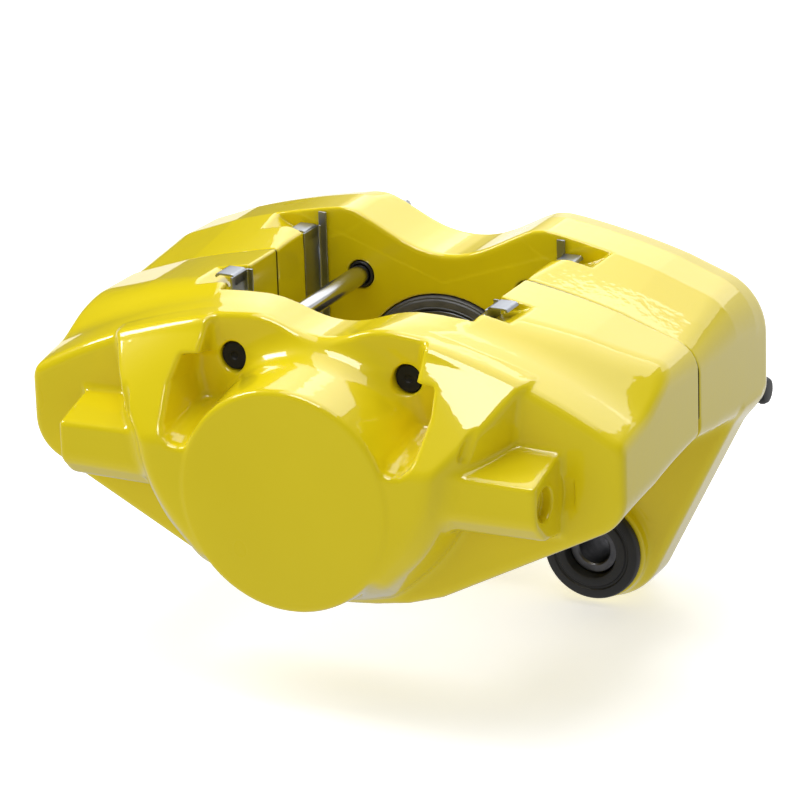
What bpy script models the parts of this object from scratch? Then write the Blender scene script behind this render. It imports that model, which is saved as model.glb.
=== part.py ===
"""Floating disc brake caliper: a two-piece body with one piston, guide bushings, pad pins and bleed screws.

X runs along the caliper, Y along the piston axis with the inboard side at +Y, and Z towards the bridge.
Sizes are in millimetres, measured from the point where the piston axis meets the plane between the body
halves. The finished part is raised so that its origin is the centre of its bounding box.
"""

import math

import bmesh
import bpy
from mathutils import Matrix, Vector

MM = 0.001
GAP = 0.3
HANDS = ((-1, "left"), (1, "right"))
OUTBOARD = -1
INBOARD = 1
RISE = 5.45

# body halves
HALF_LENGTH = 100.0
WALL_INNER_Y = 30.0
OUTBOARD_WALL_Y = 37.0
WING_FACE_Y = 58.0
BOSS_FACE_Y = 82.5
BOSS_R = 35.0
BRIDGE_ARCH_R = 270.0
BAND_ARCH_R = 196.0
SEAM_Y = GAP / 2.0
LOWER_EDGE = ((0.0, -41.0), (17.0, -39.8), (28.0, -38.0), (39.5, -34.3))
TOP_STATIONS = (70.0, 58.0, 46.0, 34.0, 22.0, 11.0, 0.0)

# the outboard band: (y, crown height) at its outer edge, its ridge, its crease and the seam
BAND_SECTIONS = ((-WING_FACE_Y - 1.0, 48.6), (-49.0, 51.3), (-40.0, 52.2), (2.0, 72.4))
SHOULDER_Z = 49.0

# both halves along y: (y, crown height, upper corner radius, lower corner height, lower corner radius)
OUTBOARD_SECTIONS = ((-WING_FACE_Y, 53.5, 7.0, -2.8, 14.0), (-31.0, 53.5, 7.0, 1.9, 9.0),
                     (-SEAM_Y, 53.5, 10.0, 6.5, 5.0))
INBOARD_SECTIONS = ((SEAM_Y, 53.5, 10.0, 6.5, 5.0), (15.0, 55.8, 13.0, 4.3, 6.0),
                    (31.0, 58.0, 15.0, 2.6, 7.0), (46.0, 58.0, 18.0, 0.6, 9.0),
                    (WING_FACE_Y, 56.0, 20.0, -0.6, 11.0))
INBOARD_ARCH_R = 255.0

# right half of the cylinder housing as (x, z), at its base, roof break, edge facet and flat face
HOUSING_BASE = ((68.5, 37.5), (37.0, 46.0), (65.5, 17.5), (55.0, -1.0), (48.0, -11.0), (40.0, -23.0),
                (26.0, -35.5), (10.0, -39.5))
HOUSING_BREAK = ((61.5, 28.0), (51.5, 27.6), (40.0, 30.4), (59.0, 12.0))
HOUSING_FACET = ((53.5, 17.0), (50.5, -1.0), (45.0, -11.5), (37.0, -19.5), (30.5, -26.0))
HOUSING_FLAT = ((48.0, 13.8), (45.6, 1.0), (43.0, -4.6), (40.0, -8.6), (33.0, -15.8), (28.0, -21.0))
HOUSING_LAYERS = ((WING_FACE_Y - 6.0, HOUSING_BASE), (WING_FACE_Y, HOUSING_BASE), (70.0, HOUSING_BREAK),
                  (77.0, HOUSING_FACET), (BOSS_FACE_Y, HOUSING_FLAT))
HOUSING_EDGE = 1.4

# pockets beside the boss, and the valley over it
POCKET_FLOOR_Y = 55.5
POCKET_WALL = ((0.0, 70.0), (37.0, 70.0), (37.0, 46.0), (36.6, 35.6), (42.6, 34.8), (43.2, 28.5),
               (40.5, 19.5))
POCKET_END = (36.0, 19.5)
POCKET_END_R = 4.5
SCOOP = ((0.0, 43.5), (5.0, 43.9), (10.0, 45.1), (15.0, 47.1), (20.0, 49.6), (25.0, 52.2), (30.0, 54.6),
         (35.0, 56.4), (41.0, 57.6), (41.0, 75.0))

# rotor slot and pad bay
ROTOR_SLOT_Y = 13.0
ROTOR_SLOT_R = 190.0
ROTOR_SLOT_CROWN_Z = 31.0
PAD_BAY_X = 42.7
PAD_RECESS_X = 44.0
LUG_Y = 18.5
RELIEF_R = 22.0
RELIEF_X = 44.0
RELIEF_Z = 67.5
OUTBOARD_RELIEF_Y = 33.0
LUG_TOP = ((30.0, 45.45), (58.0, 55.25), (58.0, 75.0), (30.0, 75.0))

# cylinder, piston and seals
BORE_R = 28.7
BORE_FLOOR_Y = 75.0
PISTON_R = 28.4
PISTON_NOSE_Y = 28.6
PISTON_TAIL_Y = 66.0
CUP_R = 21.0
CUP_FLOOR_Y = 58.0
SEAL_Y = 42.0
SEAL_WIDTH = 4.0
SEAL_GROOVE_R = 32.0
BOOT_R = 30.0
BOOT_DEPTH = 4.0
LIP_R = 25.4
LIP_WIDTH = 1.8
INLET_R = 4.4

# bridge bolts: name, x, z
BOLT_SPOTS = (("left_outer", -83.0, 24.5), ("left_inner", -54.0, 34.5),
              ("right_inner", 54.0, 34.5), ("right_outer", 83.0, 24.5))
BOLT_R = 4.7
BOLT_HEAD_R = 7.6
BOLT_HEAD_LENGTH = 9.5
BOLT_TIP_Y = -34.0
BOLT_SOCKET_AF = 8.0
BOLT_SOCKET_DEPTH = 5.0
BOLT_SEAT_R = 8.8

# pad pins, their rings and their spring clips
PIN_X = 29.3
PIN_Z = 33.8
PIN_R = 3.175
PIN_HEAD_R = 4.3
PIN_HEAD_Y = -54.6
PIN_SHOULDER_Y = -42.0
PIN_TAIL_Y = 64.0
PIN_WIDE_R = 4.65
PIN_RING_R = 4.3
PIN_RING_WIDTH = 3.0
PIN_CLIP_Y = 60.0
CLIP_WIRE_R = 0.8
PIN_CLIP_TOP = 11.0
PIN_CLIP_FOOT = -6.5
CLIP_BEND_R = 3.4

# ears, guide bushings and sleeves
GUIDE_X = 50.3
GUIDE_Z = -48.7
EAR_R = 19.8
EAR_CENTRE = (51.6, -46.9)
EAR_BOSS_R = 17.2
EAR_FRONT_Y = 31.3
EAR_PLATE_Y = (35.5, 50.0)
EAR_BACK_R = 14.8
EAR_BACK_Y = 57.0
EAR_ROOT = ((99.0, 3.4), (90.0, 10.0), (58.0, -14.0))
EAR_EDGE = 2.0
BUSHING_R = 16.3
BUSHING_FLANGE = 3.0
BUSHING_BORE_R = 8.75
BUSHING_BARREL_R = 12.2
BUSHING_LIP_R = 14.5
SLEEVE_R = 8.4
SLEEVE_BORE_R = 5.3
SLEEVE_FRONT_Y = 31.0
SLEEVE_BACK_Y = 66.0

# port blocks: outboard ones are blind, inboard ones hold the bleed screws
PORT_ROOT_X = 50.0
PORT_END_X = 80.0
PORT_SECTION = ((52.0, -9.0), (52.0, 20.0), (62.0, 18.2), (76.3, 13.4), (76.3, 0.6), (70.0, -6.2))
PORT_TAPER = 0.95
PORT_EDGE = 1.2
PORT_Y = 69.0
BLIND_PORT_Z = 6.0
BLIND_PORT_R = 5.2
BLIND_PORT_DEPTH = 4.0
BLEED_Z = -2.5
BLEED_HOLE_R = 4.3
BLEED_HOLE_X = 62.0
BLEED_R = 4.0
BLEED_HEX_AF = 8.0
BLEED_HEX_X = (80.6, 84.3)
DRILLING_R = 1.5
DRILLING_X = 20.0
CAP_R = 4.5
CAP_X = (85.0, 95.2)

# abutment clips
CLIP_SHEET = 0.8
CLIP_FOOT_Z = 2.0
CLIP_TOP_Z = 49.8
CLIP_LEG_X = {OUTBOARD: 41.2, INBOARD: 40.3}
CLIP_LEG_TOP_Z = {OUTBOARD: 49.2, INBOARD: 53.6}
CLIP_FOLD = 0.25
CLIP_TAB_X = 49.5
CLIP_TAB_Y = (20.0, 28.0)

FINISHES = {
    "powder_coat": ((0.86, 0.72, 0.0, 1.0), 0.0, 0.18),
    "steel": ((0.55, 0.56, 0.58, 1.0), 1.0, 0.28),
    "stainless": ((0.62, 0.65, 0.70, 1.0), 1.0, 0.32),
    "black_steel": ((0.03, 0.03, 0.032, 1.0), 0.6, 0.45),
    "rubber": ((0.018, 0.018, 0.02, 1.0), 0.0, 0.62),
    "alloy": ((0.42, 0.42, 0.43, 1.0), 1.0, 0.35),
}


def clear_scene():
    for thing in list(bpy.data.objects):
        bpy.data.objects.remove(thing, do_unlink=True)


def make_collection(name):
    group = bpy.data.collections.new(name)
    bpy.context.scene.collection.children.link(group)
    return group


def make_material(name, finish):
    colour, metallic, roughness = FINISHES[finish]
    material = bpy.data.materials.new(name)
    material.use_nodes = True
    shader = material.node_tree.nodes["Principled BSDF"]
    shader.inputs["Base Color"].default_value = colour
    shader.inputs["Metallic"].default_value = metallic
    shader.inputs["Roughness"].default_value = roughness
    material.diffuse_color = colour
    return material


def add_mesh(name, shape, group, finish=None, place=(0.0, 0.0, 0.0)):
    """Make an object from a bmesh in millimetres, at a place in millimetres; no finish makes it a cutter."""
    bmesh.ops.scale(shape, vec=(MM, MM, MM), verts=shape.verts)
    if shape.faces:
        bmesh.ops.recalc_face_normals(shape, faces=shape.faces)
    mesh = bpy.data.meshes.new(name)
    shape.to_mesh(mesh)
    shape.free()
    thing = bpy.data.objects.new(name, mesh)
    thing.location = (Vector(place) + Vector((0.0, 0.0, RISE))) * MM
    group.objects.link(thing)
    if finish:
        mesh.materials.append(make_material(name, finish))
    else:
        thing.hide_render = True
        thing.display_type = "WIRE"
    return thing


def cylinder(name, radius, ends, centre, group, axis="Y", finish=None, steps=48):
    """A cylinder along y, with centre as (x, z), or along x, with centre as (y, z)."""
    low, high = sorted(ends)
    shape = bmesh.new()
    bmesh.ops.create_cone(shape, cap_ends=True, segments=steps, radius1=radius, radius2=radius,
                          depth=high - low)
    middle = (low + high) / 2.0
    if axis == "Y":
        turn = Matrix.Rotation(math.pi / 2.0, 4, "X")
        place = (centre[0], middle, centre[1])
    else:
        turn = Matrix.Rotation(math.pi / 2.0, 4, "Y")
        place = (middle, centre[0], centre[1])
    bmesh.ops.transform(shape, matrix=turn, verts=shape.verts)
    return add_mesh(name, shape, group, finish, place)


def block(name, xs, ys, zs, group):
    shape = bmesh.new()
    bmesh.ops.create_cube(shape, size=1.0)
    size = [max(pair) - min(pair) for pair in (xs, ys, zs)]
    bmesh.ops.scale(shape, vec=size, verts=shape.verts)
    return add_mesh(name, shape, group, place=[sum(pair) / 2.0 for pair in (xs, ys, zs)])


def slab(name, outline, ends, group, finish=None):
    """A flat (x, z) outline extruded along y."""
    low, high = sorted(ends)
    shape = bmesh.new()
    face = shape.faces.new([shape.verts.new((x, low, z)) for x, z in outline])
    grown = bmesh.ops.extrude_face_region(shape, geom=[face])["geom"]
    moved = [item for item in grown if isinstance(item, bmesh.types.BMVert)]
    bmesh.ops.translate(shape, vec=(0.0, high - low, 0.0), verts=moved)
    return add_mesh(name, shape, group, finish)


def loft(name, sections, group, finish=None):
    """A closed skin through (y, outline) sections that have the same number of points."""
    shape = bmesh.new()
    rings = []
    for y, outline in sections:
        rings.append([shape.verts.new((x, y, z)) for x, z in outline])
    count = len(rings[0])
    for first, second in zip(rings, rings[1:]):
        for index in range(count):
            after = (index + 1) % count
            shape.faces.new((first[index], first[after], second[after], second[index]))
    bmesh.ops.triangulate(shape, faces=shape.faces[:])
    shape.faces.new(rings[0])
    shape.faces.new(rings[-1])
    return add_mesh(name, shape, group, finish)


def hull(name, points, group):
    """The convex solid around a cloud of points."""
    shape = bmesh.new()
    for point in points:
        shape.verts.new(point)
    found = bmesh.ops.convex_hull(shape, input=shape.verts)
    inside = [item for item in found["geom_interior"] if isinstance(item, bmesh.types.BMVert)]
    bmesh.ops.delete(shape, geom=inside, context="VERTS")
    bmesh.ops.dissolve_limit(shape, angle_limit=math.radians(1.0), verts=shape.verts, edges=shape.edges)
    return add_mesh(name, shape, group)


def turned(name, profile, place, group, finish=None, axis="Y", steps=48):
    """A (radius, distance) profile turned about a line along y or x through place.

    A profile that starts and ends on the line makes a solid, and any other is closed into a ring.
    """
    shape = bmesh.new()
    if axis == "Y":
        points = [shape.verts.new((radius, along, 0.0)) for radius, along in profile]
    else:
        points = [shape.verts.new((along, radius, 0.0)) for radius, along in profile]
    for first, second in zip(points, points[1:]):
        shape.edges.new((first, second))
    if profile[0][0] > 0.0:
        shape.edges.new((points[-1], points[0]))
    thing = add_mesh(name, shape, group, finish, place)
    screw = thing.modifiers.new("turn", "SCREW")
    screw.axis = axis
    screw.angle = 2.0 * math.pi
    screw.steps = steps
    screw.render_steps = steps
    screw.use_merge_vertices = True
    screw.merge_threshold = 0.00002
    screw.use_smooth_shade = True
    return thing


def wire(name, path, radius, group, finish, place):
    """A round wire along a path of points, welded into one closed mesh."""
    line = bpy.data.curves.new(name + "_line", "CURVE")
    line.dimensions = "3D"
    line.bevel_depth = radius * MM
    line.bevel_resolution = 2
    line.use_fill_caps = True
    spline = line.splines.new("POLY")
    spline.points.add(len(path) - 1)
    for point, spot in zip(spline.points, path):
        point.co = (*(Vector(spot) * MM), 1.0)
    guide = bpy.data.objects.new(name + "_line", line)
    group.objects.link(guide)
    bpy.context.view_layer.update()
    seen = guide.evaluated_get(bpy.context.evaluated_depsgraph_get())
    mesh = bpy.data.meshes.new_from_object(seen)
    bpy.data.objects.remove(guide, do_unlink=True)
    shape = bmesh.new()
    shape.from_mesh(mesh)
    bmesh.ops.remove_doubles(shape, verts=shape.verts, dist=0.000001)
    bmesh.ops.scale(shape, vec=(1.0 / MM, 1.0 / MM, 1.0 / MM), verts=shape.verts)
    return add_mesh(name, shape, group, finish, place)


def boolean(target, tool, operation="DIFFERENCE"):
    step = target.modifiers.new(tool.name, "BOOLEAN")
    step.operation = operation
    step.solver = "EXACT"
    step.object = tool


def soften(thing, width):
    step = thing.modifiers.new("edge", "BEVEL")
    step.width = width * MM
    step.segments = 2
    step.limit_method = "ANGLE"
    step.angle_limit = math.radians(30.0)


def smooth(thing):
    thing.data.shade_smooth()
    thing.data.set_sharp_from_angle(angle=math.radians(35.0))


def arch_z(x, crown, radius):
    return crown - radius + math.sqrt(radius * radius - x * x)


def mirrored(half):
    """A half outline from x = 0 round to x = 0, joined to its mirror image."""
    return list(half) + [(-x, z) for x, z in reversed(half) if x > 0.0]


def fillet(before, corner, after, radius, segments):
    """Points that round a polygon's corner."""
    corner = Vector(corner)
    back = (Vector(before) - corner).normalized()
    forth = (Vector(after) - corner).normalized()
    half = back.angle(forth) / 2.0
    centre = corner + (back + forth).normalized() * (radius / math.sin(half))
    reach = radius / math.tan(half)
    start = corner + back * reach - centre
    finish = corner + forth * reach - centre
    swing = start.angle_signed(finish)
    points = []
    for step in range(segments + 1):
        arm = Matrix.Rotation(-swing * step / segments, 2) @ start
        points.append((centre.x + arm.x, centre.y + arm.y))
    return points


def side_outline(crown, corner_radius, low_corner_z, low_corner_radius, arch_radius):
    """The body's right half as seen along the piston axis, from the bottom round to the top."""
    low_corner = (HALF_LENGTH, low_corner_z)
    top_corner = (HALF_LENGTH, arch_z(HALF_LENGTH, crown, arch_radius))
    inward = (TOP_STATIONS[0], arch_z(TOP_STATIONS[0], crown, arch_radius))
    half = list(LOWER_EDGE)
    half += fillet(LOWER_EDGE[-1], low_corner, top_corner, low_corner_radius, 6)
    half += fillet(low_corner, top_corner, inward, corner_radius, 5)
    half += [(x, arch_z(x, crown, arch_radius)) for x in TOP_STATIONS]
    return mirrored(half)


def blank(name, sections, arch_radius, parts):
    """A half before anything is joined to it or cut from it."""
    outlines = [(section[0], side_outline(*section[1:], arch_radius)) for section in sections]
    return loft(name, outlines, parts, "powder_coat")


def band_cover(cutters):
    """Everything under the outboard half's arched band and the slope that rises from its crease."""
    reach = int(1.2 * HALF_LENGTH)
    sections = []
    for y, crown in BAND_SECTIONS:
        outline = [(x, arch_z(x, crown, BAND_ARCH_R)) for x in range(-reach, reach + 1, 10)]
        sections.append((y, outline + [(reach, -HALF_LENGTH), (-reach, -HALF_LENGTH)]))
    return loft("keep_band", sections, cutters)


def housing(side, cutters):
    """The drafted block around the cylinder, without its pockets."""
    points = []
    for y, outline in HOUSING_LAYERS:
        for x, z in outline:
            points += [(x, side * y, z), (-x, side * y, z)]
    for degrees in range(-150, -29, 10):
        x = BOSS_R * math.cos(math.radians(degrees))
        z = BOSS_R * math.sin(math.radians(degrees))
        points.append((x, side * BOSS_FACE_Y, z))
        points.append((1.08 * x, side * 68.0, 1.08 * z))
    thing = hull(f"add_housing_{side}", points, cutters)
    soften(thing, HOUSING_EDGE)
    return thing


def pocket(side, hand, word, cutters):
    """The hollow beside the boss, with the round-ended groove at its foot."""
    outline = list(POCKET_WALL)
    for degrees in (-36, -72, -108, -144, -180):
        x = POCKET_END[0] + POCKET_END_R * math.cos(math.radians(degrees))
        z = POCKET_END[1] + POCKET_END_R * math.sin(math.radians(degrees))
        outline.append((x, z))
    outline += [(26.0, 19.5), (0.0, 24.0)]
    outline = [(hand * x, z) for x, z in outline]
    return slab(f"cut_pocket_{word}_{side}", outline, (side * POCKET_FLOOR_Y, side * 100.0), cutters)


def port_block(side, hand, word, drop, cutters):
    points = []
    for x, scale in ((PORT_ROOT_X, 1.0), (PORT_END_X, PORT_TAPER)):
        for y, z in PORT_SECTION:
            points.append((hand * x, side * y, BLIND_PORT_Z + (z - BLIND_PORT_Z) * scale + drop))
    thing = hull(f"add_port_{word}_{side}", points, cutters)
    soften(thing, PORT_EDGE)
    return thing


def join_housing(body, side, cutters):
    boolean(body, housing(side, cutters), "UNION")
    for hand, word in HANDS:
        boolean(body, pocket(side, hand, word, cutters))
    ends = (side * 50.0, side * BOSS_FACE_Y)
    boss = cylinder(f"add_boss_{side}", BOSS_R, ends, (0.0, 0.0), cutters, steps=80)
    boolean(body, boss, "UNION")
    drop = 0.0 if side == OUTBOARD else BLEED_Z - BLIND_PORT_Z
    for hand, word in HANDS:
        boolean(body, port_block(side, hand, word, drop, cutters), "UNION")


def cut_bridge(body, side, cutters):
    """The valley over the bore, the rotor slot, the pad bay and the clip reliefs."""
    scoop = slab(f"cut_scoop_{side}", mirrored(SCOOP), (-HALF_LENGTH, HALF_LENGTH), cutters)
    boolean(body, scoop)
    centre = (0.0, ROTOR_SLOT_CROWN_Z - ROTOR_SLOT_R)
    ends = (-side, side * ROTOR_SLOT_Y)
    boolean(body, cylinder(f"cut_rotor_{side}", ROTOR_SLOT_R, ends, centre, cutters, steps=96))
    tall = (-90.0, 90.0)
    wall = OUTBOARD_WALL_Y if side == OUTBOARD else WALL_INNER_Y
    boolean(body, block(f"cut_bay_{side}", (-PAD_BAY_X, PAD_BAY_X), (-side, side * wall), tall, cutters))
    corner = (side * LUG_Y, side * WALL_INNER_Y)
    recess = block(f"cut_recess_{side}", (-PAD_RECESS_X, PAD_RECESS_X), corner, tall, cutters)
    boolean(body, recess)
    ends = (side * LUG_Y, side * (OUTBOARD_RELIEF_Y if side == OUTBOARD else WALL_INNER_Y))
    for hand, word in HANDS:
        centre = (hand * RELIEF_X, RELIEF_Z)
        boolean(body, cylinder(f"cut_relief_{word}_{side}", RELIEF_R, ends, centre, cutters, steps=64))


def cut_shoulders(body, cutters):
    """The outboard half is level on both sides of the valley, as far as the ends of the pad bay."""
    reach = 15.0
    outline = mirrored(((0.0, SHOULDER_Z), (PAD_BAY_X, SHOULDER_Z), (PAD_BAY_X + reach, SHOULDER_Z + reach),
                        (0.0, SHOULDER_Z + reach)))
    boolean(body, slab("cut_shoulders", outline, (-90.0, 0.5 - WALL_INNER_Y), cutters))


def cut_lug_tops(body, cutters):
    """The inboard half's lugs are cut back level with the outboard half's."""
    for hand, word in HANDS:
        outline = [(hand * x, z) for x, z in LUG_TOP]
        boolean(body, slab(f"cut_lug_{word}", outline, (-1.0, WALL_INNER_Y + 0.5), cutters))


def cut_pin_holes(body, side, cutters):
    if side == OUTBOARD:
        wide_r = PIN_WIDE_R
        wide_ends = (-90.0, PIN_SHOULDER_Y)
    else:
        wide_r = PIN_RING_R + GAP
        wide_ends = (20.0, WALL_INNER_Y + PIN_RING_WIDTH + 2.0 * GAP)
    for hand, word in HANDS:
        centre = (hand * PIN_X, PIN_Z)
        ends = (side * 20.0, side * 70.0)
        boolean(body, cylinder(f"cut_pin_{word}_{side}", PIN_R + GAP, ends, centre, cutters, steps=32))
        boolean(body, cylinder(f"cut_pin_wide_{word}_{side}", wide_r, wide_ends, centre, cutters, steps=32))


def cut_bolt_holes(body, side, cutters):
    ends = (BOLT_TIP_Y - 2.0, 1.0) if side == OUTBOARD else (-1.0, 90.0)
    for word, x, z in BOLT_SPOTS:
        boolean(body, cylinder(f"cut_bolt_{word}_{side}", BOLT_R + GAP, ends, (x, z), cutters, steps=32))
        if side == INBOARD:
            seat = cylinder(f"cut_seat_{word}", BOLT_SEAT_R, (WING_FACE_Y, 95.0), (x, z), cutters, steps=40)
            boolean(body, seat)


def make_outboard_body(parts, cutters):
    body = blank("outboard_body", OUTBOARD_SECTIONS, BRIDGE_ARCH_R, parts)
    boolean(body, band_cover(cutters), "INTERSECT")
    join_housing(body, OUTBOARD, cutters)
    cut_shoulders(body, cutters)
    cut_bridge(body, OUTBOARD, cutters)
    cut_pin_holes(body, OUTBOARD, cutters)
    cut_bolt_holes(body, OUTBOARD, cutters)
    for hand, word in HANDS:
        ends = (hand * (PORT_END_X - BLIND_PORT_DEPTH), hand * HALF_LENGTH)
        centre = (-PORT_Y, BLIND_PORT_Z)
        boolean(body, cylinder(f"cut_blind_{word}", BLIND_PORT_R, ends, centre, cutters, axis="X", steps=32))
    smooth(body)


def join_ears(body, cutters):
    """Each ear is a plate from the end of the body down to a bushing boss."""
    for hand, word in HANDS:
        rim = [(hand * x, z) for x, z in EAR_ROOT]
        for degrees in range(0, 360, 15):
            x = EAR_CENTRE[0] + EAR_R * math.cos(math.radians(degrees))
            z = EAR_CENTRE[1] + EAR_R * math.sin(math.radians(degrees))
            rim.append((hand * x, z))
        points = [(x, y, z) for x, z in rim for y in EAR_PLATE_Y]
        plate = hull(f"add_ear_{word}", points, cutters)
        soften(plate, EAR_EDGE)
        boolean(body, plate, "UNION")
        centre = (hand * GUIDE_X, GUIDE_Z)
        ends = (EAR_FRONT_Y, EAR_PLATE_Y[1] - 2.6)
        boolean(body, cylinder(f"add_ear_boss_{word}", EAR_BOSS_R, ends, centre, cutters), "UNION")
        ends = (EAR_PLATE_Y[0] + 4.0, EAR_BACK_Y)
        boolean(body, cylinder(f"add_ear_back_{word}", EAR_BACK_R, ends, centre, cutters), "UNION")
        ends = (20.0, 80.0)
        hole = cylinder(f"cut_ear_{word}", BUSHING_BARREL_R + GAP, ends, centre, cutters, steps=40)
        boolean(body, hole)


def cut_cylinder(body, cutters):
    """The bore with its boot seat and seal groove, and the inlet through the back of the boss."""
    seat_y = WALL_INNER_Y + BOOT_DEPTH
    seal_low = SEAL_Y - SEAL_WIDTH / 2.0
    seal_high = SEAL_Y + SEAL_WIDTH / 2.0
    profile = ((0.0, BORE_FLOOR_Y), (BORE_R, BORE_FLOOR_Y), (BORE_R, seal_high), (SEAL_GROOVE_R, seal_high),
               (SEAL_GROOVE_R, seal_low), (BORE_R, seal_low), (BORE_R, seat_y), (BOOT_R + GAP, seat_y),
               (BOOT_R + GAP, 20.0), (0.0, 20.0))
    boolean(body, turned("cut_bore", profile, (0.0, 0.0, 0.0), cutters, steps=56))
    inlet = cylinder("cut_inlet", INLET_R, (BORE_FLOOR_Y - 1.0, 95.0), (0.0, 0.0), cutters, steps=32)
    boolean(body, inlet)


def cut_bleed_ports(body, cutters):
    centre = (PORT_Y, BLEED_Z)
    for hand, word in HANDS:
        ends = (hand * BLEED_HOLE_X, hand * HALF_LENGTH)
        boolean(body, cylinder(f"cut_bleed_{word}", BLEED_HOLE_R, ends, centre, cutters, axis="X", steps=28))
        ends = (hand * DRILLING_X, hand * (BLEED_HOLE_X + 1.0))
        hole = cylinder(f"cut_drilling_{word}", DRILLING_R, ends, centre, cutters, axis="X", steps=12)
        boolean(body, hole)


def make_inboard_body(parts, cutters):
    body = blank("inboard_body", INBOARD_SECTIONS, INBOARD_ARCH_R, parts)
    join_housing(body, INBOARD, cutters)
    join_ears(body, cutters)
    cut_lug_tops(body, cutters)
    cut_bridge(body, INBOARD, cutters)
    cut_cylinder(body, cutters)
    cut_pin_holes(body, INBOARD, cutters)
    cut_bolt_holes(body, INBOARD, cutters)
    cut_bleed_ports(body, cutters)
    smooth(body)


def make_piston(parts):
    """A cup that opens towards the pad, with a groove for the boot's lip behind its rim."""
    shoulder = PISTON_NOSE_Y + 2.4
    profile = ((0.0, PISTON_TAIL_Y), (PISTON_R - 1.0, PISTON_TAIL_Y), (PISTON_R, PISTON_TAIL_Y - 1.0),
               (PISTON_R, shoulder + 0.6), (LIP_R, shoulder), (LIP_R, PISTON_NOSE_Y),
               (CUP_R + 1.0, PISTON_NOSE_Y), (CUP_R, PISTON_NOSE_Y + 1.0), (CUP_R, CUP_FLOOR_Y - 3.0),
               (CUP_R - 3.0, CUP_FLOOR_Y), (0.0, CUP_FLOOR_Y))
    turned("piston", profile, (0.0, 0.0, 0.0), parts, "alloy", steps=56)


def make_seals(parts):
    low = SEAL_Y - SEAL_WIDTH / 2.0 + GAP
    high = SEAL_Y + SEAL_WIDTH / 2.0 - GAP
    inner = PISTON_R + GAP
    outer = SEAL_GROOVE_R - GAP
    ring = ((outer, high), (outer, low), (inner, low), (inner, high))
    turned("piston_seal", ring, (0.0, 0.0, 0.0), parts, "rubber", steps=56)
    deep = WALL_INNER_Y + BOOT_DEPTH - GAP
    proud = WALL_INNER_Y - 0.6
    boot = ((BOOT_R, deep), (BOOT_R, WALL_INNER_Y), (BOOT_R - 0.4, proud), (inner, proud), (inner, deep))
    turned("dust_boot", boot, (0.0, 0.0, 0.0), parts, "rubber", steps=56)
    low = PISTON_NOSE_Y + 0.2
    high = low + LIP_WIDTH
    lip = ((PISTON_R - 0.2, high), (PISTON_R - 0.2, low + 0.4), (PISTON_R - 0.6, low), (LIP_R + GAP, low),
           (LIP_R + GAP, high))
    turned("boot_lip", lip, (0.0, 0.0, 0.0), parts, "rubber", steps=56)


def make_bridge_bolts(parts, cutters):
    """Socket-head bolts that enter from the inboard side and screw into the outboard half."""
    under = WING_FACE_Y + GAP
    top = under + BOLT_HEAD_LENGTH
    profile = ((0.0, top), (BOLT_HEAD_R - 1.0, top), (BOLT_HEAD_R, top - 1.0), (BOLT_HEAD_R, under),
               (BOLT_R, under), (BOLT_R, BOLT_TIP_Y + 1.0), (BOLT_R - 1.0, BOLT_TIP_Y), (0.0, BOLT_TIP_Y))
    for word, x, z in BOLT_SPOTS:
        bolt = turned(f"bridge_bolt_{word}", profile, (x, 0.0, z), parts, "black_steel", steps=24)
        ends = (top - BOLT_SOCKET_DEPTH, top + 1.0)
        radius = BOLT_SOCKET_AF / math.sqrt(3.0)
        boolean(bolt, cylinder(f"cut_socket_{word}", radius, ends, (x, z), cutters, steps=6))


def make_abutment_clips(parts, cutters):
    """Sheet angles in the corners of the pad bay, each with a tab folded out over its relief."""
    near = LUG_Y + GAP
    far = WALL_INNER_Y - GAP
    back = PAD_RECESS_X - GAP
    face = back - CLIP_SHEET
    for side, place in ((OUTBOARD, "outboard"), (INBOARD, "inboard")):
        for hand, word in HANDS:
            name = f"abutment_clip_{word}_{place}"
            tall = (CLIP_FOOT_Z, CLIP_TOP_Z)
            ends = (hand * face, hand * back)
            upright = block(f"web_{word}_{place}", ends, (side * near, side * far), tall, cutters)
            ends = (hand * CLIP_LEG_X[side], hand * (back - CLIP_FOLD))
            start = near + CLIP_FOLD if side == OUTBOARD else far - CLIP_SHEET - CLIP_FOLD
            wall = (side * start, side * (start + CLIP_SHEET))
            reach = (CLIP_FOOT_Z + CLIP_FOLD, CLIP_LEG_TOP_Z[side])
            leg = block(f"leg_{word}_{place}", ends, wall, reach, cutters)
            ends = (hand * face, hand * CLIP_TAB_X)
            tab = block(f"tab_{word}_{place}", ends, [side * y for y in CLIP_TAB_Y],
                        (CLIP_TOP_Z - CLIP_SHEET, CLIP_TOP_Z), cutters)
            clip = bpy.data.objects.new(name, upright.data.copy())
            clip.location = upright.location
            clip.data.materials.append(make_material(name, "stainless"))
            parts.objects.link(clip)
            bpy.data.objects.remove(upright, do_unlink=True)
            boolean(clip, leg, "UNION")
            boolean(clip, tab, "UNION")


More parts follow.
